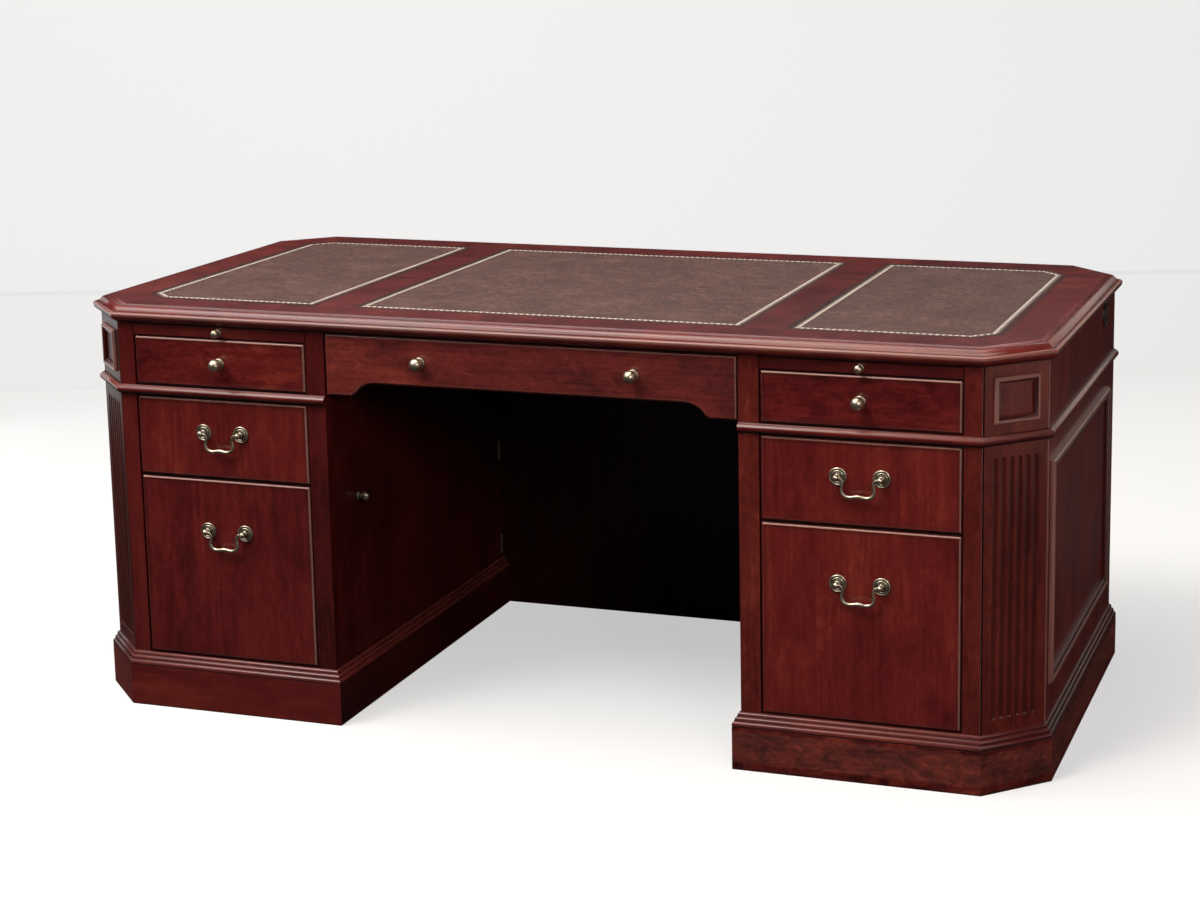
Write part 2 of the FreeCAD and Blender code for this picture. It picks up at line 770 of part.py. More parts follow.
def build_slide(name, side):
    """A writing slide: a board with a deeper lip at its front."""
    body = new_body("writing_slide_" + name)
    low, high = "slide_low", "slide_low + slide_height"
    under, over = "slide_low + front_gap", "slide_low + front_gap + slide_board"
    rear = "inside_front + slide_depth"
    start = "open_in + front_gap" if side > 0 else "-(open_out - front_gap)"
    section = sketch_on(body, "Section", "YZ_Plane", z=start)
    draw(section, [("-case_y", low), ("inside_front", low), ("inside_front", under), (rear, under),
                   (rear, over), ("inside_front", over), ("inside_front", high), ("-case_y", high)])
    pad(body, section, "open_out - open_in - 2 * front_gap")
    keep(body, "writing_slide_" + name)


def slide_bearers(name, side):
    z = ("slide_low + front_gap - runner_play - runner_thick", "slide_low + front_gap - runner_play")
    y = ("inside_front", "inside_front + slide_depth")
    return [board(name + "_bearer_in", side, ("inside_knee", "side_in + runner_reach"), y, z),
            board(name + "_bearer_out", side, ("side_out - runner_reach", "open_out"), y, z)]


def build_centre_drawer():
    """The front's lower edge rises over the knees between two coved corners."""
    body = new_body("centre_drawer_front")
    outline = sketch_on(body, "Outline", "XZ_Plane", z="case_y")
    half, low, high = "knee_x - front_gap", "box_low", "box_low + centre_height"
    arch, foot = "box_low + arch_rise", "box_low + arch_quirk"
    round_r = "((arch_foot - arch_flat)^2 + (arch_rise - arch_quirk)^2) / (2 * (arch_rise - arch_quirk))"
    quirk = "arch_foot + arch_quirk"
    draw(outline, [("-(%s)" % half, low), ("-(%s)" % quirk, low), ("-(%s)" % quirk, foot),
                   ("-arch_foot", foot), ("-arch_flat", arch, "-(%s)" % round_r), ("arch_flat", arch),
                   ("arch_foot", foot, "-(%s)" % round_r), (quirk, foot), (quirk, low), (half, low),
                   (half, high), ("-(%s)" % half, high)])
    pad(body, outline, "frame_thick", back=True)
    keep(body, "centre_drawer_front")

    z = ("box_low + arch_rise + box_lift", "%s - box_head" % high)
    x = ("-centre_side", "centre_side")
    drawer_box("centre_drawer_box", 1, x, z, "centre_depth")
    return runner_pair("centre", 1, ("-knee_x", "knee_x"), x, z[0], "centre_depth")


# Hardware

def knob(name, scale="1"):
    """A ball knob on a stem with a small round base, standing out towards -Y."""
    body = new_body(name)
    sketch = sketch_on(body, "Half", "XY_Plane")
    ball, stem = "(knob_ball / 2 * %s)" % scale, "(knob_stem / 2 * %s)" % scale
    base, foot = "(knob_base / 2 * %s)" % scale, "(knob_foot * %s)" % scale
    neck = "(%s + knob_neck * %s)" % (foot, scale)
    tip = "(%s + sqrt(%s^2 - %s^2) + %s)" % (neck, ball, stem, ball)
    draw(sketch, [("0", "0"), ("0", "-" + tip), (stem, "-" + neck, ball), (stem, "-" + foot),
                  (base, "-%s * 0.4" % foot, "-%s * 1.1" % base), (base, "0")])
    doc.recompute()
    turned(body, sketch)
    return body


def build_knobs():
    field = "-case_y"
    for name, side in SIDES:
        keep(place(knob("knob_box_" + name), mirror(side, "open_mid"), field, "box_low + box_height / 2"),
             name + "_box_knob")
        keep(place(knob("knob_slide_" + name, "small_knob"), mirror(side, "open_mid"), field,
                   "slide_low + slide_height / 2"), name + "_slide_knob")
    pair = [place(knob("knob_centre_" + name), mirror(side, "centre_knob_x"), field,
                  "box_low + arch_rise + (centre_height - arch_rise) / 2") for name, side in SIDES]
    keep(group("centre_knobs", pair), "centre_knobs")
    body = knob("knob_door", "small_knob")
    body.Placement = Placement(Vector(), Rotation(Vector(0, 0, 1), 90))
    keep(place(body, "-knee_x", "door_front_y + door_knob_inset",
               "door_high - door_knob_drop"), "door_knob")


def bail(name):
    """A drop handle of round wire; its ends lie on the pivot line at the origin."""
    body = new_body(name)
    path = sketch_on(body, "Path", "XZ_Plane")
    leg_x, top, low = "bail_leg_x", "bail_top_bend", "bail_low_bend"
    half = [("bail_span / 2", "0"), ("%s + %s" % (leg_x, top), "0"), (leg_x, "-" + top, top),
            (leg_x, "-(bail_drop - %s)" % low), ("%s - %s" % (leg_x, low), "-bail_drop", "-" + low)]
    other = [("-(%s)" % c[0], c[1]) for c in half]
    other = [other[4], other[3] + ("-" + low,), other[2], other[1] + (top,), other[0]]
    draw(path, half + other, closed=False)
    section = draw_circle(sketch_on(body, "Section", "YZ_Plane", z="bail_span / 2"), "0", "bail_wire / 2")
    run(body, section, path)
    return body


def bail_mount(name):
    """A domed rosette with a ball post, bored across for the bail's end."""
    body = new_body(name)
    sketch = sketch_on(body, "Half", "XY_Plane")
    ball, rose, neck = "(post_ball / 2)", "(rosette_wide / 2)", "(post_ball * 0.34)"
    meet = "-(post_long - sqrt(%s^2 - %s^2))" % (ball, neck)
    draw(sketch, [("0", "0"), ("0", "-(post_long + %s)" % ball), (neck, meet, ball),
                  (neck, "-rosette_thick * 1.6"), (rose + " * 0.5", "-rosette_thick"),
                  (rose + " * 0.62", "-rosette_thick * 0.7"), (rose + " * 0.7", "-rosette_thick"),
                  (rose, "-rosette_thick * 0.3", "-" + rose + " * 0.6"), (rose, "0")])
    doc.recompute()
    turned(body, sketch)
    bore = sketch_on(body, "Bore", "YZ_Plane", z="-rosette_wide")
    pocket(body, draw_circle(bore, "-post_long", "bail_wire / 2 + pin_play"), "2 * rosette_wide", back=True)
    return body


def build_bails():
    for name, side in SIDES:
        for kind, z in (("middle", "mid_pull_z"), ("file", "file_pull_z")):
            label = "%s_%s" % (name, kind)
            x = mirror(side, "open_mid")
            keep(place(bail("bail_" + label), x, "-case_y - post_long", z), label + "_bail")
            pair = [place(bail_mount("mount_%s_%s" % (label, end)), "%s + %d * bail_span / 2" % (x, hand),
                          "-case_y", z) for end, hand in (("a", -1), ("b", 1))]
            keep(group("mounts_" + label, pair), label + "_bail_posts")


def hinge_pieces(tag, middle):
    """One butt hinge: the fixed half carries the pin and the outer knuckles."""
    tall, radius = "hinge_tall", "hinge_barrel / 2"
    low, high = "%s - %s / 2" % (middle, tall), "%s + %s / 2" % (middle, tall)
    third = "(%s / 3)" % tall
    inner = ("%s + %s" % (low, third), "%s - %s" % (high, third))
    leaf_x = ("-knee_x - hinge_leaf_wide", "-knee_x")
    tab_x = ("-knee_x", "hinge_x")
    still_y = ("door_rear_y + front_gap - hinge_leaf", "door_rear_y + front_gap")
    door_y = ("door_rear_y", "door_rear_y + hinge_leaf")
    fixed = [
        board("fixed_leaf" + tag, 1, leaf_x, still_y, (low, high)),
        board("fixed_tab_low" + tag, 1, tab_x, still_y, (low, inner[0])),
        board("fixed_tab_high" + tag, 1, tab_x, still_y, (inner[1], high)),
        rod("fixed_low" + tag, radius, third, "hinge_x", "hinge_y", low),
        rod("fixed_high" + tag, radius, third, "hinge_x", "hinge_y", inner[1]),
        rod("fixed_pin" + tag, "hinge_pin / 2", tall, "hinge_x", "hinge_y", low),
    ]
    play_low, play_high = "%s + hinge_play" % inner[0], "%s - hinge_play" % inner[1]
    span = "%s - 2 * hinge_play" % third
    moving = joined("moving_solid" + tag, [
        board("moving_leaf" + tag, 1, leaf_x, door_y, (low, high)),
        board("moving_tab" + tag, 1, tab_x, door_y, (play_low, play_high)),
        rod("moving_barrel" + tag, radius, span, "hinge_x", "hinge_y", play_low),
    ])
    bore = rod("moving_bore" + tag, "hinge_pin / 2 + pin_play", span, "hinge_x", "hinge_y", play_low)
    return joined("fixed_half" + tag, fixed), cut("moving_half" + tag, moving, bore)


def build_door():
    keep(board("knee_door", -1, ("knee_x", "inside_knee"), ("door_front_y", "door_rear_y"),
               ("door_low", "door_high")), "knee_door")
    heights = ("door_low + hinge_inset", "(door_low + door_high) / 2", "door_high - hinge_inset")
    halves = [hinge_pieces("_%d" % i, z) for i, z in enumerate(heights, 1)]
    keep(group("hinge_plates", [fixed for fixed, moving in halves]), "hinge_plates")
    keep(group("door_hinges", [moving for fixed, moving in halves]), "door_hinges")


def check():
    """Stop before anything is written if an object failed or a piece has no sound shape."""
    failed = [o.Name for o in doc.Objects if {"Invalid", "Error"} & set(o.State)]
    failed += [p.Label for p in pieces if p.Shape.isNull() or not p.Shape.isValid()]
    if failed:
        raise RuntimeError("failed: " + ", ".join(failed))


def main():
    fill_sheet()
    build_top()
    for name, side in SIDES:
        build_case(name, side)
    build_posts()
    build_back()
    build_waist()
    build_inner_boards()
    build_applied()
    build_wire_caps()
    build_drawers()
    build_knobs()
    build_bails()
    build_door()
    doc.recompute()
    check()
    os.makedirs("parts", exist_ok=True)
    for piece in pieces:
        piece.Shape.exportStep("parts/%s.step" % piece.Label)
        print("%-28s %2d solids %12.0f mm3" % (piece.Label, len(piece.Shape.Solids), piece.Shape.Volume))
    print(len(pieces), "sub-parts")


main()
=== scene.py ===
# %% [markdown]
# # Dressing a partners desk
#
# The desk arrives as a plain construction model: every board, drawer and handle is where it
# belongs, at its real size, but with flat colours and square edges. This lesson gives it a
# cabinet maker's surface. Each board gets rounded edges and its own grain, the mouldings are
# run again with finer sections, the leathers are tooled in gold and the handles are cast in
# antique brass. Nothing moves: each new piece rides on the body of the piece it stands for.

import math
import random

import bmesh
import bpy
from mathutils import Matrix, Vector


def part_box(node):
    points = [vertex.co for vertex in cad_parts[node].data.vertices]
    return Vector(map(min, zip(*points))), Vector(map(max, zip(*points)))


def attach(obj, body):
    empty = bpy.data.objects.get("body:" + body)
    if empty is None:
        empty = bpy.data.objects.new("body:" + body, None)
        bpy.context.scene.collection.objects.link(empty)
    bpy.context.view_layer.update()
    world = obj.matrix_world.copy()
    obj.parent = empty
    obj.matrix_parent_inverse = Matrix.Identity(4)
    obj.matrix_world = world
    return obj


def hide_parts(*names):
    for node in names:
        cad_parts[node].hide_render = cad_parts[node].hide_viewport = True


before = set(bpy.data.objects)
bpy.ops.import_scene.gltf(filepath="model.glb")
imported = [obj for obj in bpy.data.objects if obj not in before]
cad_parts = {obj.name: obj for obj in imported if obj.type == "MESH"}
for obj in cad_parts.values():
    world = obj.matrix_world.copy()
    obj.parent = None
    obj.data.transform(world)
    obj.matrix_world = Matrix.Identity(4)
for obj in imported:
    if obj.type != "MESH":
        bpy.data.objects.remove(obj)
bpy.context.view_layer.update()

# %% [markdown]
# The case is described by a handful of planes. They are read from the boxes of the
# construction model's pieces, so the dressed desk always fits the frame that it is given.

# %% Planes of the case
MM = 0.001
X, Y, Z = Vector((1, 0, 0)), Vector((0, 1, 0)), Vector((0, 0, 1))
SIDES = (("right", 1), ("left", -1))


def lowest(node, axis):
    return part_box(node)[0][axis]


def highest(node, axis):
    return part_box(node)[1][axis]


case_x = highest("end_panel_right", 0)
case_y = -lowest("front_frame_right", 1)
case_top = highest("end_panel_right", 2)
cant = case_y - highest("end_panel_right", 1)
knee = lowest("front_frame_right", 0)
desk_top = highest("top_board", 2)
plinth_out = highest("plinth_right", 0) - case_x
skirting_top = highest("plinth_moulding_right", 2)
waist_low, waist_high = lowest("waist_moulding", 2), highest("waist_moulding", 2)
print("case", round(case_x, 4), round(case_y, 4), "cant", round(cant, 4), "top", round(desk_top, 4))

# %% [markdown]
# ## Camera, floor and light
#
# The desk is seen from the right at standing height. Furniture catalogues keep the uprights
# parallel. A level camera with a large lens shift would do that fully, but the shift stays
# when the camera moves to other sides. So the camera looks down a little, through a long
# lens, and a small shift does the rest. Its directions are worked out from three angles.


# %% Camera
def new_object(name, data):
    """An object in the scene."""
    made = bpy.data.objects.new(name, data)
    bpy.context.scene.collection.objects.link(made)
    return made


FRAME_WIDTH = 1200
SENSOR = 36
FOCAL_PIXELS = 2376.0
SHIFT_PIXELS = (100, -140)
EYE = Vector((1.5715, -4.1771, 1.5231))  # in metres
YAW, PITCH, ROLL = -0.3228, -0.1803, -0.0125  # in radians

looking = Vector((math.sin(YAW) * math.cos(PITCH), math.cos(YAW) * math.cos(PITCH), math.sin(PITCH)))
level = Vector((math.cos(YAW), -math.sin(YAW), 0))
upward = level.cross(looking)
right_hand = level * math.cos(ROLL) + upward * math.sin(ROLL)
up_hand = upward * math.cos(ROLL) - level * math.sin(ROLL)

lens = bpy.data.cameras.new("camera")
lens.sensor_width = SENSOR
lens.lens = FOCAL_PIXELS / FRAME_WIDTH * SENSOR
lens.shift_x = -SHIFT_PIXELS[0] / FRAME_WIDTH
lens.shift_y = SHIFT_PIXELS[1] / FRAME_WIDTH
camera = new_object("camera", lens)
turned = Matrix((right_hand, up_hand, -looking)).transposed()
camera.matrix_world = Matrix.Translation(EYE) @ turned.to_4x4()
bpy.context.scene.camera = camera
print("lens", round(lens.lens, 1), "mm")

# %% [markdown]
# Node trees can be wired by hand, one line for each node and link. One small helper is
# easier to read: it adds a node, sets its options, and fills each named input with either a
# plain value or a link.


# %% Node helper
def add(tree, kind, inputs=None, **options):
    made = tree.nodes.new(kind)
    for option, value in options.items():
        setattr(made, option, value)
    for key, value in (inputs or {}).items():
        if isinstance(value, bpy.types.NodeSocket):
            tree.links.new(value, made.inputs[key])
        else:
            made.inputs[key].default_value = value
    return made


def blank_material(name):
    material = bpy.data.materials.new(name)
    material.use_nodes = True
    material.node_tree.nodes.clear()
    return material, material.node_tree


print("materials that came with the model:", len(bpy.data.materials))

# %% [markdown]
# The studio is a pale floor that runs back to a pale wall with a low skirting. A lacquered
# desk is a dark mirror, so what it reflects matters more than what lights it: the floor and
# the wall are pale to the eye, but they send back less light than they show. The wall has
# no back side, so the desk can also be looked at from behind it.

# %% Floor and wall
FLOOR_REACH = 14
WALL_FOOT = (Vector((-2.720, 1.889, 0)), Vector((0.746, 3.206, 0)))
WALL_HIGH, WALL_REACH = 5.0, 5.0
SKIRTING_HIGH, SKIRTING_PROUD, LINE_HIGH, LINE_PROUD = 0.308, 0.012, 0.012, 0.010
FLOOR_GLOW, FLOOR_TONE, FLOOR_BOUNCE = 0.53, 0.46, 0.035
WALL_GLOW, WALL_TONE, WALL_BOUNCE = 0.70, 0.30, 0.055
LINE_DIMMED, SKIRTING_DIMMED = 0.06, 0.01


def pale_surface(name, glow, tone, bounce, one_sided=False):
    """Pale to the eye, with soft shadows, but dim to the light that bounces off it."""
    material, tree = blank_material(name)
    lit = add(tree, "ShaderNodeBsdfDiffuse", {"Color": (tone, tone, tone, 1)})
    own = add(tree, "ShaderNodeEmission", {"Color": (1, 1, 1, 1), "Strength": glow})
    seen = add(tree, "ShaderNodeAddShader", {0: lit.outputs[0], 1: own.outputs[0]})
    bounced = add(tree, "ShaderNodeBsdfDiffuse", {"Color": (bounce, bounce * 0.98, bounce * 0.95, 1)})
    path = add(tree, "ShaderNodeLightPath")
    result = add(tree, "ShaderNodeMixShader",
                 {0: path.outputs["Is Camera Ray"], 1: bounced.outputs[0], 2: seen.outputs[0]})
    if one_sided:
        clear = add(tree, "ShaderNodeBsdfTransparent")
        result = add(tree, "ShaderNodeMixShader", {
            0: add(tree, "ShaderNodeNewGeometry").outputs["Backfacing"],
            1: result.outputs[0], 2: clear.outputs[0]})
    add(tree, "ShaderNodeOutputMaterial", {"Surface": result.outputs[0]})
    return material


def stage_sheet(name, corners, material):
    mesh = bpy.data.meshes.new(name)
    mesh.from_pydata(corners, [], [(0, 1, 2, 3)])
    mesh.materials.append(material)
    new_object(name, mesh)


corners = [(x * FLOOR_REACH, y * FLOOR_REACH, 0) for x, y in ((-1, -1), (1, -1), (1, 1), (-1, 1))]
stage_sheet("floor", corners, pale_surface("floor", FLOOR_GLOW, FLOOR_TONE, FLOOR_BOUNCE))
along_wall = (WALL_FOOT[1] - WALL_FOOT[0]).normalized()
to_room = along_wall.cross(Z)
ends = (WALL_FOOT[0] - along_wall * WALL_REACH, WALL_FOOT[1] + along_wall * WALL_REACH)
for name, proud, high, glow in (
        ("wall", 0.0, WALL_HIGH, WALL_GLOW),
        ("skirting_line", LINE_PROUD, SKIRTING_HIGH, WALL_GLOW - LINE_DIMMED),
        ("skirting", SKIRTING_PROUD, SKIRTING_HIGH - LINE_HIGH, WALL_GLOW - SKIRTING_DIMMED)):
    low_ends = [end + to_room * proud for end in ends]
    up = Z * high
    stage_sheet(name, [low_ends[0], low_ends[1], low_ends[1] + up, low_ends[0] + up],
                pale_surface(name, glow, WALL_TONE, WALL_BOUNCE, one_sided=True))
print("the wall is", round((ends[1] - ends[0]).length, 2), "m long")

# %% [markdown]
# Two long soft boxes hang over the desk, side by side. They do most of the work: they are
# reflected in every bead and rounded edge, while the flat faces look past them. The sun
# fills the fronts, and two small panels lift the right-hand drawers and the left-hand
# corner. Panels behind the desk and low on its right draw the edges of the ends, and two
# warm ones bring out the canted corner on the right. The floor sends back little, so the
# kneehole stays dark. None of the panels is seen.

# %% Lights
bpy.context.scene.view_settings.view_transform = "Standard"


def aimed(name, lamp, place, target):
    light = new_object(name, lamp)
    light.location = place
    light.rotation_mode = "QUATERNION"
    light.rotation_quaternion = (Vector(target) - Vector(place)).to_track_quat("-Z", "Y")
    return light


def hang_soft_box(name, place, target, size, power, tone):
    """An area light of size (width, height) in metres, aimed at a point."""
    lamp = bpy.data.lights.new(name, "AREA")
    lamp.color = tone
    lamp.shape = "RECTANGLE"
    lamp.size, lamp.size_y = size
    lamp.energy = power
    aimed(name, lamp, place, target).visible_camera = False


key = bpy.data.lights.new("key", "SUN")
key.energy = 1.35
key.color = (1, 0.98, 0.955)
key.angle = math.radians(24)
aimed("key", key, (-2.6, -3.2, 5.2), (0, 0, 0.3))
SOFT_BOXES = (  # name, place, target, size, power in watts, colour
    ("overhead_left", (-2.1, -0.9, 3.0), (-1.9, -0.75, 0), (1.3, 3.2), 62, (1, 0.96, 0.92)),
    ("overhead_right", (0.0, -0.9, 3.0), (0.05, -0.75, 0), (1.3, 3.2), 60, (1, 0.91, 0.80)),
    ("rear_high", (-0.6, 2.2, 2.2), (0, -0.3, 0.75), (4.2, 0.45), 12, (1, 1, 1)),
    ("rear_right", (1.75, 3.0, 1.4), (0.9, 0, 0.7), (1.3, 1.1), 4.5, (1, 0.85, 0.76)),
    ("rear_left", (-2.9, 0.9, 0.6), (-0.9, -0.3, 0.5), (1.3, 1.1), 4, (1, 1, 1)),
    ("low_right", (2.4, 0.5, 0.25), (0.8, -0.2, 0.6), (0.9, 0.45), 5, (1, 1, 1)),
    ("cant_right", (3.3, -0.75, 0.22), (0.88, -0.42, 0.6), (0.9, 0.4), 0.9, (1, 0.74, 0.62)),
    ("cant_high", (1.9, -1.2, 1.15), (0.88, -0.42, 0.62), (0.35, 0.35), 2.6, (1, 0.85, 0.78)),
    ("right_fill", (1.9, -2.4, 1.7), (0.75, -0.4, 0.3), (0.8, 0.8), 18, (1, 0.94, 0.91)),
    ("left_fill", (-1.5, -1.9, 1.7), (-0.7, -0.45, 0.62), (0.6, 0.6), 3.5, (1, 0.9, 0.9)),
)
for soft_box in SOFT_BOXES:
    hang_soft_box(*soft_box)

# %% [markdown]
# Round the stage there is only the sky. One even sky would light the desk from all sides and
# fog the lacquer. So it is pale where the camera sees it, and nearly dark as a light and in
# the mirror of the wood, as a large studio's far walls are.

# %% Sky
SKY_SHOWN, SKY_LIGHT, SKY_MIRRORED = (0.87, 1.0), (1, 0.045), (1, 0.015)  # tone, strength
sky = bpy.data.worlds.new("studio")
sky.use_nodes = True
sky_tree = sky.node_tree
sky_tree.nodes.clear()
path = add(sky_tree, "ShaderNodeLightPath")
shown, ambient, mirrored = (
    add(sky_tree, "ShaderNodeBackground", {"Color": (tone, tone, tone, 1), "Strength": strength})
    for tone, strength in (SKY_SHOWN, SKY_LIGHT, SKY_MIRRORED))
unseen = add(sky_tree, "ShaderNodeMixShader",
             {0: path.outputs["Is Glossy Ray"], 1: ambient.outputs[0], 2: mirrored.outputs[0]})
mixed = add(sky_tree, "ShaderNodeMixShader",
            {0: path.outputs["Is Camera Ray"], 1: unseen.outputs[0], 2: shown.outputs[0]})
add(sky_tree, "ShaderNodeOutputWorld", {"Surface": mixed.outputs[0]})
bpy.context.scene.world = sky
print("sky:", len(sky_tree.nodes), "nodes")

# %% [markdown]
# ## The lacquered wood
#
# Wood could be a scanned picture, but every board would then need its picture laid and
# turned. A pattern worked out from a place in space never repeats, and needs no picture.
# These helpers are its parts: noise that can be drawn out along the grain, a little
# arithmetic to add layers, and a colour ramp that turns the sum into a stain.


# %% Pattern helpers
def ramp(tree, factor, stops):
    """A colour ramp with (place, colour) stops."""
    made = add(tree, "ShaderNodeValToRGB", {"Fac": factor})
    while len(made.color_ramp.elements) < len(stops):
        made.color_ramp.elements.new(0.5)
    for element, (place, tone) in zip(made.color_ramp.elements, stops):
        element.position = place
        element.color = (*tone, 1)
    return made.outputs["Color"]


def noise(tree, vector, scale, detail=2.0, **inputs):
    settings = {"Vector": vector, "Scale": scale, "Detail": detail, **inputs}
    return add(tree, "ShaderNodeTexNoise", settings).outputs["Fac"]


def stretched_noise(tree, vector, stretch, scale, detail=3.0, rough=0.5, distortion=0.0):
    """Noise drawn out along the grain."""
    mapped = add(tree, "ShaderNodeMapping", {"Vector": vector, "Scale": (stretch, 1, 1)})
    return noise(tree, mapped.outputs[0], scale, detail, Roughness=rough, Distortion=distortion)


def maths(tree, operation, *values, clamp=False):
    made = add(tree, "ShaderNodeMath", dict(enumerate(values)), operation=operation, use_clamp=clamp)
    return made.outputs[0]


def scaled(tree, value, gain, base):
    return maths(tree, "MULTIPLY_ADD", value, gain, base)


def weighted(tree, total, value, weight):
    """The total with a share of one more layer."""
    return maths(tree, "ADD", total, maths(tree, "MULTIPLY", value, weight))


def spread_out(tree, value, low, high):
    """Map low..high onto 0..1 and clamp it."""
    made = add(tree, "ShaderNodeMapRange", {"Value": value, "From Min": low, "From Max": high})
    return made.outputs[0]


def mix_tone(tree, factor, first, second, blend="MIX"):
    made = add(tree, "ShaderNodeMix", {0: factor, 6: first, 7: second}, data_type="RGBA", blend_type=blend)
    return made.outputs[2]


print("patterns can be drawn out, added up, spread out and stained")

# %% [markdown]
# The finishes of the desk share three more helpers. One reads how much glaze and painted
# light lies at a place. One turns a pattern into relief too fine to model. One ends a
# material with a single Principled shader, so that all the finishes answer the light alike.


# %% Glaze, relief and shader
def glaze_and_painted_light_on(tree):
    return add(tree, "ShaderNodeAttribute", attribute_name="glaze_and_painted_light").outputs["Fac"]


def relief(tree, height, strength, distance, **inputs):
    """A bump of a distance in metres."""
    settings = {"Height": height, "Strength": strength, "Distance": distance, **inputs}
    return add(tree, "ShaderNodeBump", settings).outputs[0]


def surfaced(material, tree, inputs):
    """Finish a material with one Principled shader."""
    surface = add(tree, "ShaderNodeBsdfPrincipled", inputs)
    add(tree, "ShaderNodeOutputMaterial", {"Surface": surface.outputs[0]})
    return material


print("finishes end in one shader")

# %% [markdown]
# Stained mahogany is built up in layers: a red-brown ground that drifts in soft blotches,
# darker figure that runs with the grain, fine fibres and pores, and a dark glaze that is
# wiped into every groove and left there. The pattern reads two attributes that each piece
# carries. `grain` is the place in the board that the piece was cut from, with its first
# number running along the fibres, so a rail and a stile of one material still run their own
# ways. `glaze_and_painted_light` says how much dark glaze was left, and it also carries painted
# shade in grooves, gaps and shaded places. Below zero it paints a pale rubbed tone, partly
# wear and partly painted highlight.


# %% Wood
def wood(name, tones, glaze_and_shade_tone, rubbed_and_highlight_tone, gloss, shine, mottle):
    material, tree = blank_material(name)
    place = add(tree, "ShaderNodeAttribute", attribute_name="grain").outputs["Vector"]
    glaze_and_painted_light = glaze_and_painted_light_on(tree)

    log = stretched_noise(tree, place, 1.0, 0.8, 0.0)
    blotch = stretched_noise(tree, place, 0.45, 11, 2.5, 0.55, 0.6)
    cloud = stretched_noise(tree, place, 0.55, 52, 4.0, 0.62, 1.4)
    figure = stretched_noise(tree, place, 0.07, 60, 4.0, 0.6, 1.2)
    streak = stretched_noise(tree, place, 0.035, 200, 3.0, 0.55)
    fibre = stretched_noise(tree, place, 0.03, 1100, 2.0, 0.6)
    pores = spread_out(tree, stretched_noise(tree, place, 0.05, 1500, 1.0), 0.62, 0.72)

    tone = scaled(tree, blotch, 0.40, 0.115)
    for layer, weight in ((figure, 0.28), (streak, 0.13)):
        tone = weighted(tree, tone, layer, weight)
    for layer, weight in ((log, 0.30), (cloud, mottle)):
        tone = weighted(tree, tone, maths(tree, "SUBTRACT", layer, 0.5), weight)
    ground = ramp(tree, spread_out(tree, tone, 0.30, 0.74), tones)
    ground = mix_tone(tree, 1.0, ground, scaled(tree, fibre, 0.36, 0.82), "MULTIPLY")
    ground = mix_tone(tree, maths(tree, "MULTIPLY", pores, 0.35), ground, (*glaze_and_shade_tone, 1))

    # Above zero the tone darkens towards the glaze: glaze and painted shade. Below zero it turns to the pale
    # rubbed tone: wear and painted highlight.
    broken = scaled(tree, streak, 0.9, 0.45)
    glazed_and_shaded = maths(tree, "MULTIPLY", glaze_and_painted_light, broken, clamp=True)
    ground = mix_tone(tree, glazed_and_shaded, ground, (*glaze_and_shade_tone, 1))
    rubbed_and_highlit = maths(tree, "MULTIPLY", maths(tree, "MULTIPLY", glaze_and_painted_light, -1.0), broken, clamp=True)
    ground = mix_tone(tree, rubbed_and_highlit, ground, (*rubbed_and_highlight_tone, 1))

    orange_peel = relief(tree, noise(tree, place, 190, 1.0), 0.12, 0.0002)
    open_grain = maths(tree, "SUBTRACT", fibre, pores)
    return surfaced(material, tree, {
        "Base Color": ground, "Specular IOR Level": shine,
        "Roughness": weighted(tree, scaled(tree, blotch, 0.12, gloss - 0.06), glazed_and_shaded, 0.2),
        "Normal": relief(tree, open_grain, 0.15, 0.00005, Normal=orange_peel)})


PLAIN_TONES = [(0.0, (0.038, 0.0036, 0.0040)), (0.35, (0.105, 0.0094, 0.0092)),
               (0.65, (0.165, 0.0165, 0.0140)), (1.0, (0.265, 0.037, 0.023))]
MAHOGANY_FINISH = {"glaze_and_shade_tone": (0.004, 0.0006, 0.0006), "rubbed_and_highlight_tone": (0.52, 0.31, 0.25), "gloss": 0.25}
mahogany = wood("mahogany", PLAIN_TONES, shine=0.5, mottle=0.28, **MAHOGANY_FINISH)
print("mahogany:", len(mahogany.node_tree.nodes), "nodes")

# %% [markdown]
# The desk is made of five cuts of that wood. They differ in how warm they are and in
# how strongly the figure is mottled: plain for boards and mouldings, lively for the drawer
# fronts and the veneers of the top, boldest for the plinth that the light falls on. One
# function makes them all, so their grain and their glaze agree. The drawers are boxed in a
# pale secondary wood, as they are in good furniture, and that is the same function again.

# %% Cuts of wood
WARM_TONES = [(0.0, (0.040, 0.0050, 0.0042)), (0.35, (0.104, 0.0122, 0.0096)),
              (0.65, (0.168, 0.0215, 0.0150)), (1.0, (0.300, 0.050, 0.0260))]
PALE_TONES = [(0.0, (0.24, 0.13, 0.06)), (0.4, (0.36, 0.215, 0.11)), (0.75, (0.44, 0.275, 0.15)),
              (1.0, (0.52, 0.35, 0.20))]
warm_mahogany, mottled_mahogany, figured_mahogany, veneer_mahogany = (
    wood(name, tones, shine=shine, mottle=mottle, **MAHOGANY_FINISH)
    for name, tones, shine, mottle in (
        ("warm_mahogany", WARM_TONES, 0.5, 0.4),
        ("mottled_mahogany", PLAIN_TONES, 0.5, 0.55),
        ("figured_mahogany", WARM_TONES, 0.5, 1.0),
        ("veneer_mahogany", PLAIN_TONES, 0.3, 0.7)))
drawer_wood = wood("drawer_wood", PALE_TONES, glaze_and_shade_tone=(0.16, 0.08, 0.035),
                   rubbed_and_highlight_tone=(0.55, 0.40, 0.25), gloss=0.5, shine=0.35, mottle=0.1)
print("pale wood:", len(drawer_wood.node_tree.nodes), "nodes")

# %% [markdown]
# ## Brass, leather, gold and plastic
#
# The handles are antiqued brass: pale where fingers polish it, nearly black where they
# don't reach. Those places are known when a handle is drawn, so they are laid on its points
# as glaze, and the material only mixes bright metal with patina by that number.


# %% Brass
def object_place(tree):
    return add(tree, "ShaderNodeTexCoord").outputs["Object"]


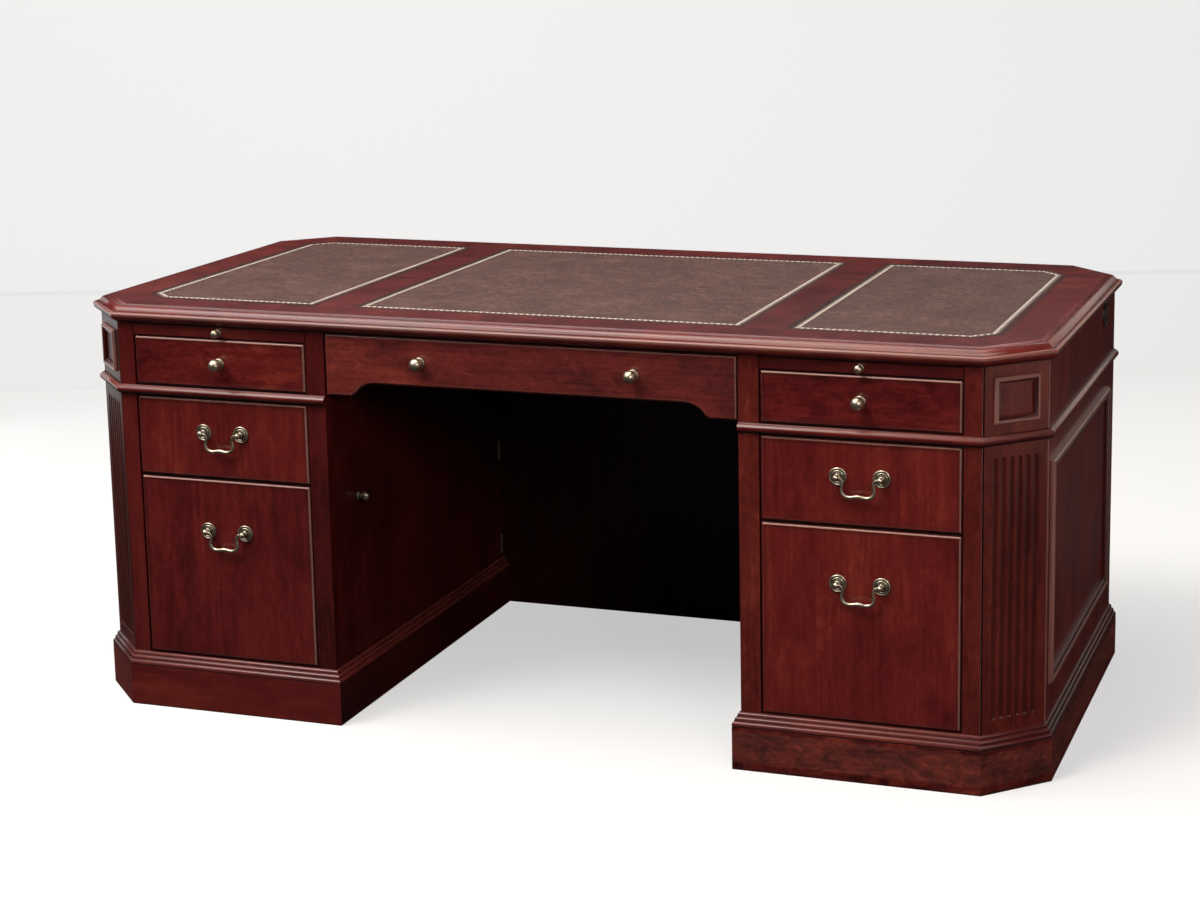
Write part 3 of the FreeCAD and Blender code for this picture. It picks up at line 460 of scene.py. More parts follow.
def brass(name):
    material, tree = blank_material(name)
    place = object_place(tree)
    cloud = noise(tree, place, 160, 4.0)
    scuff = noise(tree, place, 900)
    bright = ramp(tree, spread_out(tree, cloud, 0.3, 0.7),
                  [(0.0, (0.40, 0.335, 0.24)), (0.55, (0.60, 0.525, 0.40)), (1.0, (0.76, 0.69, 0.55))])
    patina = maths(tree, "MULTIPLY", glaze_and_painted_light_on(tree), maths(tree, "ADD", cloud, 0.5), clamp=True)
    return surfaced(material, tree, {
        "Base Color": mix_tone(tree, patina, bright, (0.035, 0.028, 0.018, 1)), "Metallic": 1.0,
        "Roughness": weighted(tree, scaled(tree, scuff, 0.16, 0.30), patina, 0.3),
        "Normal": relief(tree, scuff, 0.2, 0.0001)})


antique_brass = brass("antique_brass")
print("brass:", len(antique_brass.node_tree.nodes), "nodes")

# %% [markdown]
# The leathers are brown hide with a fine pebble, drifting a little in tone. The pebble is a
# cell pattern whose cells are bent by noise, because even cells look like tiles. It is too
# fine to model, so it is a bump, and the creases between the pebbles are darkened a little
# as painted shade. The pared edge of each hide is darkened too, as painted shade.


# %% Leather
def hide(name):
    material, tree = blank_material(name)
    place = object_place(tree)
    cloud = noise(tree, place, 9, 8.0, Roughness=0.76, Distortion=0.3)
    speck = noise(tree, place, 110, 5.0)
    combed = stretched_noise(tree, place, 0.4, 90, 5.0, 0.7, 0.8)
    wander = add(tree, "ShaderNodeTexNoise", {"Vector": place, "Scale": 140, "Detail": 2.0})
    bent = add(tree, "ShaderNodeMix", {0: 0.012, 4: place, 5: wander.outputs["Color"]}, data_type="VECTOR")
    cells = add(tree, "ShaderNodeTexVoronoi", {"Vector": bent.outputs[1], "Scale": 420},
                feature="DISTANCE_TO_EDGE")
    pebble = spread_out(tree, cells.outputs["Distance"], 0.0, 0.26)
    tone = maths(tree, "MULTIPLY", cloud, 0.42)
    for layer, weight in ((speck, 0.42), (combed, 0.50)):
        tone = weighted(tree, tone, layer, weight)
    tone = ramp(tree, spread_out(tree, tone, 0.51, 0.83),
                [(0.0, (0.046, 0.018, 0.014)), (0.5, (0.100, 0.041, 0.034)), (1.0, (0.225, 0.118, 0.092))])
    # Painted shade: darker creases, and below, a darker pared edge.
    crease_shaded = mix_tone(tree, pebble, (0.035, 0.014, 0.010, 1), tone)
    crease_shaded = mix_tone(tree, 0.45, crease_shaded, tone)
    edge_shade = maths(tree, "MULTIPLY", glaze_and_painted_light_on(tree), 0.8)
    return surfaced(material, tree, {
        "Base Color": mix_tone(tree, edge_shade, crease_shaded, (0.020, 0.007, 0.005, 1)),
        "Roughness": scaled(tree, cloud, 0.1, 0.45),
        "Normal": relief(tree, maths(tree, "ADD", pebble, combed), 0.5, 0.0003),
        "Specular IOR Level": 0.26, "Sheen Weight": 0.04, "Sheen Roughness": 0.4})


leather = hide("leather")
print("leather:", len(leather.node_tree.nodes), "nodes")

# %% [markdown]
# The gold is leaf pressed into the leather, so it is thin, pale and broken by the hide's
# grain. Polished metal would go black wherever it mirrors the dark room, so it is mostly a
# pale paint with a little metal in it: its pale, bright colour is partly painted reflection
# of the lights that real leaf would mirror.


# %% Gold leaf
def leaf(name):
    material, tree = blank_material(name)
    worn = noise(tree, object_place(tree), 90, 6.0, Roughness=0.7)
    tone = ramp(tree, spread_out(tree, worn, 0.30, 0.55),
                [(0.0, (0.58, 0.45, 0.34)), (0.3, (0.90, 0.80, 0.66)), (1.0, (1.0, 0.95, 0.86))])
    return surfaced(material, tree, {
        "Base Color": mix_tone(tree, glaze_and_painted_light_on(tree), tone, (0.20, 0.15, 0.095, 1)),
        "Metallic": 0.15, "Roughness": 0.38})


gold_leaf = leaf("gold_leaf")
print("leaf:", len(gold_leaf.node_tree.nodes), "nodes")

# %% [markdown]
# The wire caps are brown moulded plastic, with the fine spark texture of a mould.


# %% Plastic
def plastic(name, tone):
    material, tree = blank_material(name)
    place = object_place(tree)
    darker, lighter = ((*(c * share for c in tone), 1) for share in (0.8, 1.2))
    return surfaced(material, tree, {
        "Base Color": mix_tone(tree, noise(tree, place, 60), darker, lighter), "Roughness": 0.42,
        "Normal": relief(tree, noise(tree, place, 2400, 1.0), 0.35, 0.00008)})


brown_plastic = plastic("brown_plastic", (0.018, 0.010, 0.008))
print("materials:", len(bpy.data.materials))

# %% [markdown]
# ## Drawing boards and mouldings
#
# Everything below is drawn in a `Workpiece`: a mesh being built, with the two attributes
# that the wood reads. Modifiers could round and bend ready-made shapes, but they know nothing
# of grain. Here each face is painted with grain as it is made, because only then is it known
# which board it belongs to. A workpiece can be drawn flat and stood up at once: `at` takes
# the matrix of the face that the next bits are laid on.


# %% Workpiece
WELD = 0.01 * MM


class Workpiece:
    """A mesh being built, with grain and glaze on its face corners."""

    def __init__(self):
        self.mesh = bmesh.new()
        self.grain = self.mesh.loops.layers.float_vector.new("grain")
        self.glaze_and_painted_light = self.mesh.loops.layers.float.new("glaze_and_painted_light")
        self.laid = self.mesh.verts.layers.float.new("laid")
        self.at(Matrix())

    def at(self, matrix):
        self.matrix, self.back = matrix, matrix.inverted()
        return self

    def point(self, place, glaze_and_painted_light=0.0):
        made = self.mesh.verts.new(self.matrix @ Vector(place))
        made[self.laid] = glaze_and_painted_light
        return made

    def face(self, points, along, shift):
        made = self.mesh.faces.new(points)
        for corner in made.loops:
            corner[self.glaze_and_painted_light] = corner.vert[self.laid]
        self.paint(made, along, shift)
        return made

    def paint(self, face, along, shift):
        side = along.cross(Z if abs(along.z) < 0.9 else Y).normalized()
        through = along.cross(side)
        for corner in face.loops:
            place = self.back @ corner.vert.co
            corner[self.grain] = Vector((place.dot(along), place.dot(side), place.dot(through))) + shift

    def skin(self, rows, along):
        """Join closed rows of points, one after the other. A row at a pole repeats one point."""
        for first, second in zip(rows, rows[1:]):
            for i in range(len(first)):
                j = (i + 1) % len(first)
                ring = [first[i], first[j], second[j], second[i]]
                self.face([p for k, p in enumerate(ring) if p not in ring[:k]], along, Vector())

    def weld(self):
        bmesh.ops.remove_doubles(self.mesh, verts=self.mesh.verts, dist=WELD)
        return self


print("welds within", WELD / MM, "mm")

# %% [markdown]
# Two boards of one desk never show the same grain, so each is cut from its own place in a
# log, which its name decides. And every front, end and cant is an upright face: its frame
# says where its middle is, which way is along it, which is up and which is out of it.


# %% Where boards are cut and faces stand
def cut_from(seed):
    """Where in its log a board was cut: a fixed random shift for each name."""
    dice = random.Random(seed)
    return Vector((dice.uniform(0, 9), dice.uniform(0, 9), dice.uniform(0, 9)))


def laid_on(centre, way):
    """The frame of an upright face: first along it, then up, then out of it."""
    out = way.cross(Z)
    return Matrix((
        (way.x, 0, out.x, centre[0]),
        (way.y, 0, out.y, centre[1]),
        (way.z, 1, out.z, centre[2]),
        (0, 0, 0, 1)))


FRONT_FACE = laid_on((0, -case_y, 0), X)
print("the front faces", tuple(round(c) for c in FRONT_FACE.col[2][:3]))

# %% [markdown]
# A finished piece gets its normals, its material, the body it rides on and the nodes that it
# stands for, always in the same way, so one function does it. Edges that turn by more than
# 38 degrees are marked sharp, and weighted normals keep the large faces flat beside their
# small rounded edges, as a planed board looks.

# %% Finishing a piece
SHARP = math.radians(38)
dressed = []


def finish_piece(name, work, material, body, nodes=()):
    """Turn a workpiece into an object that rides on its body and stands for its nodes."""
    work.mesh.verts.layers.float.remove(work.laid)
    bmesh.ops.recalc_face_normals(work.mesh, faces=work.mesh.faces)
    for edge in work.mesh.edges:
        if edge.is_manifold and edge.calc_face_angle() > SHARP:
            edge.smooth = False
    for face in work.mesh.faces:
        face.smooth = True
    mesh = bpy.data.meshes.new(name)
    work.mesh.to_mesh(mesh)
    work.mesh.free()
    mesh.materials.append(material)
    piece = new_object(name, mesh)
    planed = piece.modifiers.new("weighted_normals", "WEIGHTED_NORMAL")
    planed.keep_sharp = True
    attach(piece, body)
    if nodes:
        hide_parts(*nodes)
    dressed.append(piece)
    return piece


print("pieces are sharp above", round(math.degrees(SHARP)), "degrees")

# %% [markdown]
# In the construction model one node can hold several boards that touch, and its mesh is
# loose triangles. Joining what touches would glue the boards together. But the triangles of
# one solid follow each other, and a solid is complete as soon as every edge has met its
# opposite, so one walk through the mesh tells the boards apart.


# %% Telling boards apart
PLACES_PER_METRE = 100000  # vertices are matched to a hundredth of a millimetre


def solids_of(node):
    """The (lowest, highest) corners of each solid in a node."""
    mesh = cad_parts[node].data
    places = [tuple(round(c * PLACES_PER_METRE) for c in v.co) for v in mesh.vertices]
    open_edges, corners, solids = set(), [], []
    for triangle in mesh.polygons:
        a, b, c = (places[i] for i in triangle.vertices)
        corners += [mesh.vertices[i].co for i in triangle.vertices]
        for edge in ((a, b), (b, c), (c, a)):
            if edge[::-1] in open_edges:
                open_edges.remove(edge[::-1])
            elif edge[0] != edge[1]:
                open_edges.add(edge)
        if not open_edges:
            solids.append((Vector(min(p[k] for p in corners) for k in range(3)),
                           Vector(max(p[k] for p in corners) for k in range(3))))
            corners = []
    return solids


print("boards inside:", len(solids_of("inner_boards")))

# %% [markdown]
# A plain board is a box with its edges eased by a plane stroke, and the glaze lodges along
# those edges. A Bevel modifier could ease them, but the bevel is made here in the mesh, so
# that the grain and the glaze can be painted on its new faces.


# %% Easing a board
EASED = 0.8 * MM
EDGE_GLAZE = 0.45


def longest_axis(low, high):
    size = high - low
    return (X, Y, Z)[max(range(3), key=lambda k: size[k])]


def eased_board(work, low, high, along=None, seed="", eased=EASED, painted_shade=0.0):
    """Add a box with rounded edges, its grain along its length unless told otherwise."""
    before = set(work.mesh.faces)
    box = bmesh.ops.create_cube(work.mesh, size=1)["verts"]
    for point in box:
        point.co = Vector(low[k] + (point.co[k] + 0.5) * (high[k] - low[k]) for k in range(3))
    edges = list({edge for point in box for edge in point.link_edges})
    bmesh.ops.bevel(work.mesh, geom=edges, offset=eased, segments=2, profile=0.6, affect="EDGES",
                    clamp_overlap=True)
    direction = along or longest_axis(low, high)
    for face in work.mesh.faces:
        if face not in before:
            work.paint(face, direction, cut_from(seed))
            flat = max(abs(c) for c in face.normal) > 0.999
            for corner in face.loops:
                corner[work.glaze_and_painted_light] = painted_shade if flat else max(painted_shade, EDGE_GLAZE)


def dress_boards(node, body, material=mahogany, along=None, eased=EASED, painted_shade=0.0):
    """Dress every board of a node, with painted shade on its flats where it is given."""
    work = Workpiece()
    for number, (low, high) in enumerate(solids_of(node)):
        eased_board(work, low, high, along, "%s %d" % (node, number), eased, painted_shade)
    return finish_piece(node + "_dressed", work, material, body, [node])


print("edges eased by", EASED / MM, "mm")

# %% [markdown]
# The boards of the case have their grain upright on ends, backs and doors, and along the
# length of rails and stiles. Frame joints are flush, so their edges are hardly eased. The
# flats of the boards in the kneehole are darkened as painted shade, the modesty panel most.
# The flats of the front frames get a little painted shade too, the left-hand frame in plain
# wood and more than the right-hand one, which is in the warmer cut: that difference is
# partly painted light.

# %% Boards of the case
JOINT_EASED = 0.25 * MM
# Painted shade on the flats: for the dark kneehole, and for the darker left-hand frame.
MODESTY_SHADE, KNEEHOLE_SHADE, LEFT_FRAME_SHADE, RIGHT_FRAME_SHADE = 0.85, 0.4, 0.2, 0.1
for node in ("end_panel_right", "end_panel_left", "back_panels"):
    dress_boards(node, "case", along=Z)
dress_boards("knee_panel_right", "case", along=Z, painted_shade=KNEEHOLE_SHADE)
dress_boards("modesty_panel", "case", along=Z, painted_shade=MODESTY_SHADE)
dress_boards("front_frame_right", "case", warm_mahogany, eased=JOINT_EASED, painted_shade=RIGHT_FRAME_SHADE)
dress_boards("front_frame_left", "case", eased=JOINT_EASED, painted_shade=LEFT_FRAME_SHADE)
for node in ("knee_panel_left", "back_apron"):
    dress_boards(node, "case", eased=JOINT_EASED, painted_shade=KNEEHOLE_SHADE)
dress_boards("knee_door", "kneehole_door", along=Z, painted_shade=KNEEHOLE_SHADE)
print("boards:", len(dressed))

# %% [markdown]
# The inside is plain: solid drawer sides and battens in a pale secondary wood that was
# sanded and sealed, not stained. They are boards like the others, so the same function
# dresses them, each on its own drawer's body.

# %% Inner boards and drawer boxes
PEDESTAL_DRAWERS = ["%s_%s_drawer" % (side, kind) for side, _ in SIDES for kind in ("box", "middle", "file")]
for node in ("inner_boards", "runners"):
    dress_boards(node, "case", drawer_wood)
for drawer in PEDESTAL_DRAWERS + ["centre_drawer"]:
    dress_boards(drawer + "_box", drawer, drawer_wood)
print("boards:", len(dressed))

# %% [markdown]
# A moulding is cut to a section: flats, rounds and hollows that meet in quirks. A section is
# a list of (out, up, glaze and painted light) points, in millimetres, and `bow` bends a
# stretch of it into an arc, because a router bit cuts true arcs.


# %% Bending a section
def bow(start, end, bulge, steps=6, glaze_and_painted_light=None):
    """Points of an arc from start to end, bulging to the right of the way by bulge."""
    (x0, y0, g0), (x1, y1, g1) = start, end
    across = Vector((x1 - x0, y1 - y0, 0))
    half = across.length / 2
    radius = (half * half + bulge * bulge) / (2 * abs(bulge))
    sense = math.copysign(1, bulge)
    right = Vector((across.y, -across.x, 0)).normalized() * sense
    centre = Vector(((x0 + x1) / 2, (y0 + y1) / 2, 0)) + right * (abs(bulge) - radius)
    first = Vector((x0, y0, 0)) - centre
    turn = first.angle(Vector((x1, y1, 0)) - centre)
    if abs(bulge) > half:
        turn = 2 * math.pi - turn
    points = []
    for step in range(steps + 1):
        share = step / steps
        place = centre + Matrix.Rotation(sense * turn * share, 3, "Z") @ first
        points.append((place.x, place.y, g0 + (g1 - g0) * share if glaze_and_painted_light is None else glaze_and_painted_light))
    return points


print("an arc of", len(bow((0, 0, 0), (1, 1, 0), 0.2)), "points")

# %% [markdown]
# A section could be swept by a curve object with a bevel profile, but its corners come out
# rounded or pinched, and its faces don't know their grain. Here the section is sheared onto
# the mitre plane at each corner, which keeps its width, so the corners meet as sawn mitres
# do, and each run is painted with its own grain.


# %% Running a moulding
def mitres(path, closed=True):
    """The outward mitre direction at each corner of a path that goes counterclockwise."""
    count = len(path)
    ways = [(path[(i + 1) % count] - path[i]).normalized() for i in range(count if closed else count - 1)]
    found = []
    for i in range(count):
        before = ways[i - 1] if closed or i else ways[0]
        after = ways[i] if i < len(ways) else ways[-1]
        a, b = (Vector((way.y, -way.x, 0)) for way in (before, after))
        found.append((a + b) / (1 + a.dot(b)))
    return found


def run_moulding(work, path, section, closed=True, seed="", solid=True, along=None):
    """Sweep a section in millimetres along a path, and return its points, corner by corner."""
    rows = [[work.point(corner + mitre * (out * MM) + Z * (up * MM), glaze_and_painted_light) for out, up, glaze_and_painted_light in section]
            for corner, mitre in zip(path, mitres(path, closed))]
    count = len(path)
    for i in range(count if closed else count - 1):
        here, there = rows[i], rows[(i + 1) % count]
        way = along or (path[(i + 1) % count] - path[i]).normalized()
        shift = cut_from(seed if along else "%s %d" % (seed, i))
        for j in range(len(section) if solid else len(section) - 1):
            k = (j + 1) % len(section)
            work.face((here[j], there[j], there[k], here[k]), way, shift)
    if not closed:
        work.face(rows[0], X, cut_from(seed))
        work.face(rows[-1][::-1], X, cut_from(seed))
    return rows


print("the mitre of a square corner is", round(mitres([Vector(), X, X + Y, Y])[0].length, 3), "long")

# %% [markdown]
# A drawer front or a hide is the same thing closed in the middle: its section runs round the
# edge, and one face fills the rest. The plan of the desk is the path for everything that
# goes right round it.


# %% Shaped boards and the plan
def shaped_board(work, path, section, along, seed):
    """A board of any outline: the section is its edge, from the back face to the front face."""
    rows = run_moulding(work, path, section, seed=seed, solid=False, along=along)
    work.face([row[0] for row in rows[::-1]], along, cut_from(seed))
    work.face([row[-1] for row in rows], along, cut_from(seed))
    return rows


def canted(out):
    """The plan of the desk, counterclockwise from the front, standing out from the case."""
    leg = cant + out * (2 - math.sqrt(2))
    x, y = case_x + out, case_y + out
    return [Vector(p) for p in (
        (-(x - leg), -y, 0), (x - leg, -y, 0), (x, -(y - leg), 0), (x, y - leg, 0),
        (x - leg, y, 0), (-(x - leg), y, 0), (-x, y - leg, 0), (-x, -(y - leg), 0))]


def raised(section, height):
    """A section whose heights are measured from a height of the desk in metres."""
    return [(out, up + height / MM, glaze_and_painted_light) for out, up, glaze_and_painted_light in section]


print("the plan has", len(canted(0)), "corners")

# %% [markdown]
# The top's edge is the desk's signature. From the field outwards a shallow bevel falls to a
# quirk, a broad ogee sweeps down to a second quirk, and a full bead makes the nose. The
# underside slopes back to the case. The quirks are dark with glaze and painted shade, the
# shadow line beneath is painted shade, and the bevel, the ogee and the bead are lightened a
# little as painted highlight, which is what makes the ogee and the bead read so bright.

# %% Top edge moulding
ARRIS_IN = 18.5
top_edge = [(-ARRIS_IN, -31, 0.6), (-ARRIS_IN, 0, 0.15), (-17.9, -0.05, -0.2), (-17.2, -0.3, 0.0)]
top_edge += [(-9.4, -1.5, 0.2), (-9.0, -2.5, 1.0), (-8.2, -2.6, 1.0)]
top_edge += bow((-7.8, -1.7, 0.1), (-1.5, -5.0, -0.1), -0.75, 5)
top_edge += bow((-1.5, -5.0, -0.1), (5.0, -10.9, 0.1), 0.6, 6)[1:]
top_edge += [(5.3, -12.0, 1.0), (6.9, -12.2, 1.0), (7.3, -11.5, 0.3)]
top_edge += bow((8.2, -11.3, -0.3), (13.0, -18.4, -0.25), -2.4, 10)
top_edge += bow((12.7, -19.0, 0.0), (10.4, -24.2, 0.0), -0.5, 4)
top_edge += bow((9.8, -24.8, 0.1), (4.6, -28.5, 0.3), 0.4, 3)
top_edge += [(4.0, -28.9, 1.0), (0.8, -29.2, 1.0), (0.8, -31, 1.0)]

case_path = canted(0)
work = Workpiece()
run_moulding(work, case_path, raised(top_edge, desk_top), seed="top edge")
finish_piece("top_edge_moulding", work, mahogany, "case", ["top_moulding"])
print("top edge section:", len(top_edge), "points")

# %% [markdown]
# Three leathers are let into the top. Their outlines follow the plan of the desk, further
# in: the outer two take its canted corners, and the middle one is a plain rectangle. They
# are worked out once, because the recesses, the hides and the tooling all follow them.

# %% Outlines of the leathers
leather_y = highest("leather_right", 1)
strip = (highest("leather_centre", 0), lowest("leather_right", 0))
field = canted(-ARRIS_IN * MM)
inner = canted(highest("leather_right", 0) - case_x)


def flat(*places):
    return [Vector((x, y, 0)) for x, y in places]


outlines = {
    "centre": flat((-strip[0], -leather_y), (strip[0], -leather_y), (strip[0], leather_y),
                   (-strip[0], leather_y)),
    "right": flat((strip[1], -leather_y)) + inner[1:5] + flat((strip[1], leather_y)),
    "left": flat((-strip[1], leather_y)) + inner[5:8] + inner[:1] + flat((-strip[1], -leather_y)),
}
print("strips between the leathers:", round(strip[1] - strip[0], 4), "wide")

# %% [markdown]
# The top is veneered with crossbanding: the grain runs square to the nearest edge, so the
# border is laid as eight mitred bands, and the two strips between the leathers run across
# as well. The veneers are duller than the mouldings, under a thin even glaze. A narrow band
# round each recess is darkened further as painted shade, down to a fine chamfer that is dark
# with painted shade where the leather meets the wood.

# %% Top boards
# The band round each recess and its chamfer carry painted shade.
BANDING, BANDING_SHADE, VENEER_GLAZE = 10, 0.7, 0.32
wood_y = leather_y + BANDING * MM
wood_strip = (strip[0] + BANDING * MM, strip[1] - BANDING * MM)
wood_inner = canted(highest("leather_right", 0) + BANDING * MM - case_x)
stop_x = (-wood_strip[1], -wood_strip[0], wood_strip[0], wood_strip[1])
stops_on = {0: flat(*((x, -wood_y) for x in stop_x)), 4: flat(*((x, wood_y) for x in stop_x[::-1]))}
recess = raised([(BANDING, 0, VENEER_GLAZE), (BANDING - 2, 0, BANDING_SHADE), (1.5, 0, BANDING_SHADE),
                 (0, 0, 0.9), (-0.7, -0.3, 1.0), (-1.2, -0.8, 1.0), (-1.2, -1.8, 1.0)], desk_top)

work = Workpiece()
lift, under = Z * desk_top, Z * (case_top + MM)
for i in range(8):
    j = (i + 1) % 8
    way = (field[j] - field[i]).normalized()
    band = [field[i], field[j], wood_inner[j]] + stops_on.get(i, [])[::-1] + [wood_inner[i]]
    band = [work.point(p + lift, VENEER_GLAZE) for p in band]
    work.face(band, Vector((-way.y, way.x, 0)), cut_from("band %d" % i))
    rim = [work.point(field[j] + under), work.point(field[i] + under)]
    rim += [work.point(field[i] + lift), work.point(field[j] + lift)]
    work.face(rim, way, cut_from("edge %d" % i))
for side, name in ((1, "strip right"), (-1, "strip left")):
    low, high = sorted((side * wood_strip[0], side * wood_strip[1]))
    edge = flat((low, -wood_y), (high, -wood_y), (high, wood_y), (low, wood_y))
    work.face([work.point(p + lift, VENEER_GLAZE) for p in edge], X, cut_from(name))
for name, outline in outlines.items():
    rows = run_moulding(work, outline, recess, seed="recess", solid=False)
    work.face([row[-1] for row in rows], Y, cut_from("bed"))
work.face([work.point(p + under) for p in field[::-1]], X, cut_from("under"))
finish_piece("top_veneers", work.weld(), veneer_mahogany, "case", ["top_board"])
print("recesses:", len(outlines))

# %% [markdown]
# Each leather is one hide, pared thin at its edge and laid into its recess, so its edge
# dips a little, and there it is darkened as painted shade. It lies flat and is glued down, so
# it needs no cloth: it is a shaped board with a very low edge.

# %% Leathers
# The glaze numbers of the pared edge are painted shade where it dips.
pared = raised([(-1.3, -1.9, 0.8), (-1.3, -0.9, 0.8), (-1.7, -0.5, 0.7), (-2.6, -0.2, 0.45),
                (-4.5, -0.06, 0.1), (-7.0, 0.0, 0.0)], desk_top)
for name, outline in outlines.items():
    work = Workpiece()
    shaped_board(work, outline, pared, Y, "hide " + name)
    finish_piece("leather_skin_" + name, work, leather, "case", ["leather_" + name])
print("hides:", len(outlines))

# %% [markdown]
# ## Repeating with Geometry Nodes
#
# The gold tooling was rolled on with a heated wheel: one small motif, over and over, at an
# even pitch along each edge. That is a rule, so a node tree does it. The tree turns a mesh
# of lines into curves, steps along them at the pitch, and stamps the motif at each step,
# turned to follow the line.


# %% Stamping tree
def group_with(name, inputs, result):
    """A Geometry Nodes tree with named inputs: returns it and its input node."""
    tree = bpy.data.node_groups.new(name, "GeometryNodeTree")
    for label, kind in inputs:
        tree.interface.new_socket(label, in_out="INPUT", socket_type="NodeSocket" + kind)
    tree.interface.new_socket(result, in_out="OUTPUT", socket_type="NodeSocketGeometry")
    return tree, add(tree, "NodeGroupInput").outputs


def handed_out(tree, placed, finish, result):
    """End a tree: its instances are made real, given their material and handed out."""
    real = add(tree, "GeometryNodeRealizeInstances", {"Geometry": placed.outputs[0]})
    painted = add(tree, "GeometryNodeSetMaterial", {"Geometry": real.outputs[0], "Material": finish})
    add(tree, "NodeGroupOutput", {result: painted.outputs[0]})
    return tree


def stamping_tree():
    tree, given = group_with("stamp_along_lines", [
        ("Lines", "Geometry"), ("Motif", "Object"), ("Pitch", "Float"), ("Finish", "Material")], "Stamped")
    curve = add(tree, "GeometryNodeMeshToCurve", {"Mesh": given["Lines"]})
    steps = add(tree, "GeometryNodeResampleCurve",
                {"Curve": curve.outputs[0], "Length": given["Pitch"]}, mode="LENGTH")
    motif = add(tree, "GeometryNodeObjectInfo", {"Object": given["Motif"]})
    heading = add(tree, "GeometryNodeInputTangent")
    turned = add(tree, "FunctionNodeAlignRotationToVector", {"Vector": heading.outputs[0]},
                 axis="X", pivot_axis="Z")
    placed = add(tree, "GeometryNodeInstanceOnPoints", {
        "Points": steps.outputs[0], "Instance": motif.outputs["Geometry"], "Rotation": turned.outputs[0]})
    return handed_out(tree, placed, given["Finish"], "Stamped")


stamping = stamping_tree()
print("stamping tree:", len(stamping.nodes), "nodes")

# %% [markdown]
# A tree lives in a modifier, and a modifier's result is lost on export where it makes
# instances. So the tree is run once on a throwaway object, and what it grew is taken as a
# plain mesh. Its inputs are found by their names and set by their identifiers.


# %% Growing a mesh
def grown(name, start, tree, **settings):
    """The mesh that a tree makes from a starting mesh, with its inputs set by name."""
    holder = new_object(name, start)
    modifier = holder.modifiers.new("grow", "NODES")
    modifier.node_group = tree
    for item in tree.interface.items_tree:
        if item.item_type == "SOCKET" and item.in_out == "INPUT" and item.name in settings:
            modifier[item.identifier] = settings[item.name]
    bpy.context.view_layer.update()
    evaluated = holder.evaluated_get(bpy.context.evaluated_depsgraph_get())
    mesh = bpy.data.meshes.new_from_object(evaluated)
    bpy.data.objects.remove(holder)
    mesh.name = name
    return mesh


def lines_mesh(name, lines):
    mesh = bpy.data.meshes.new(name)
    ends = [place for line in lines for place in line]
    mesh.from_pydata(ends, [(i, i + 1) for i in range(0, len(ends), 2)], [])
    return mesh


no_lines = lines_mesh("no_lines", [])
print("an empty start has", len(no_lines.vertices), "points")

# %% [markdown]
# The wheel's motif is a slanted leaf. It runs between two rolled lines: a fine one inside
# and a broad, worn one along the leather's edge. It is only a few hundredths of a
# millimetre of gold in a shallow dent, so it is drawn as a low, slightly domed shape that
# catches the light.

# %% The wheel's leaf
LEAF_LONG, LEAF_WIDE, LEAF_HIGH = 3.8 * MM, 3.0 * MM, 0.3 * MM
LEAF_SLANT, LEAF_POINT = math.radians(16), 0.35


def dome(mesh, place, half_long, half_wide, count=12):
    """A low closed dome on a pointed rim."""
    edge = []
    for a in (math.tau * i / count for i in range(count)):
        reach = half_long * math.cos(a) * (abs(math.cos(a)) ** LEAF_POINT)
        edge.append(mesh.verts.new(place @ Vector((reach, half_wide * math.sin(a), 0))))
    crown = mesh.verts.new(place @ Vector((0, 0, LEAF_HIGH)))
    for i, point in enumerate(edge):
        mesh.faces.new((point, edge[(i + 1) % count], crown))
    mesh.faces.new(edge[::-1])


def wheel_motif():
    """The wheel's slanted leaf, as an object that the tree can stamp."""
    mesh = bmesh.new()
    dome(mesh, Matrix.Rotation(LEAF_SLANT, 4, "Z"), LEAF_LONG, LEAF_WIDE)
    data = bpy.data.meshes.new("wheel_motif")
    mesh.to_mesh(data)
    mesh.free()
    return new_object("wheel_motif", data)


print("leaf:", LEAF_LONG / MM, "by", LEAF_WIDE / MM, "mm from its middle")

# %% [markdown]
# The tooling is rolled onto each leather along its own outline, a little way in. Each edge
# starts and stops short of the corners, where two crossed leaves hide the join, and the
# rolled lines are very flat mouldings. One piece holds the tooling of one leather.

# %% Rolling the tooling
TOOLING_IN, TOOLING_PITCH = 10.0, 11.0 * MM
FIRST_LEAF, LAST_LEAF = 0.8, 1.1  # how far from the corners, in pitches
RULES = ((4.2, 1.6, 0.9), (12.5, 0.8, 0.2))  # distance in, width, wear
CORNER_LEAF = (0.8, 0.7)  # share of the leaf's length and width

wheel = wheel_motif()
gilt = Z * (desk_top - 0.02 * MM)
for name, outline in outlines.items():
    inset_path = zip(outline, mitres(outline))
    track = [corner + mitre * (-TOOLING_IN * MM) + gilt for corner, mitre in inset_path]
    lines = []
    for i, corner in enumerate(track):
        end = track[(i + 1) % len(track)]
        inset = (end - corner).normalized() * TOOLING_PITCH
        lines.append((corner + inset * FIRST_LEAF, end - inset * LAST_LEAF))
    stamped = grown("stamped_" + name, lines_mesh("lines", lines), stamping,
                    Motif=wheel, Pitch=TOOLING_PITCH, Finish=gold_leaf)
    work = Workpiece()
    work.mesh.from_mesh(stamped)
    bpy.data.meshes.remove(stamped)
    for rule, wide, worn in RULES:
        section = raised([(-rule, -0.1, worn), (-rule, 0.1, worn), (-rule - wide / 2, 0.15, worn),
                          (-rule - wide, 0.1, worn), (-rule - wide, -0.1, worn)], desk_top)
        run_moulding(work, outline, section)
    for corner in track:
        for turn in (0, 90):
            place = Matrix.Translation(corner) @ Matrix.Rotation(math.radians(turn), 4, "Z")
            dome(work.mesh, place, LEAF_LONG * CORNER_LEAF[0], LEAF_WIDE * CORNER_LEAF[1])
    finish_piece("gold_tooling_" + name, work, gold_leaf, "case")
    print("tooling", name, "lines", len(lines))
bpy.data.objects.remove(wheel)
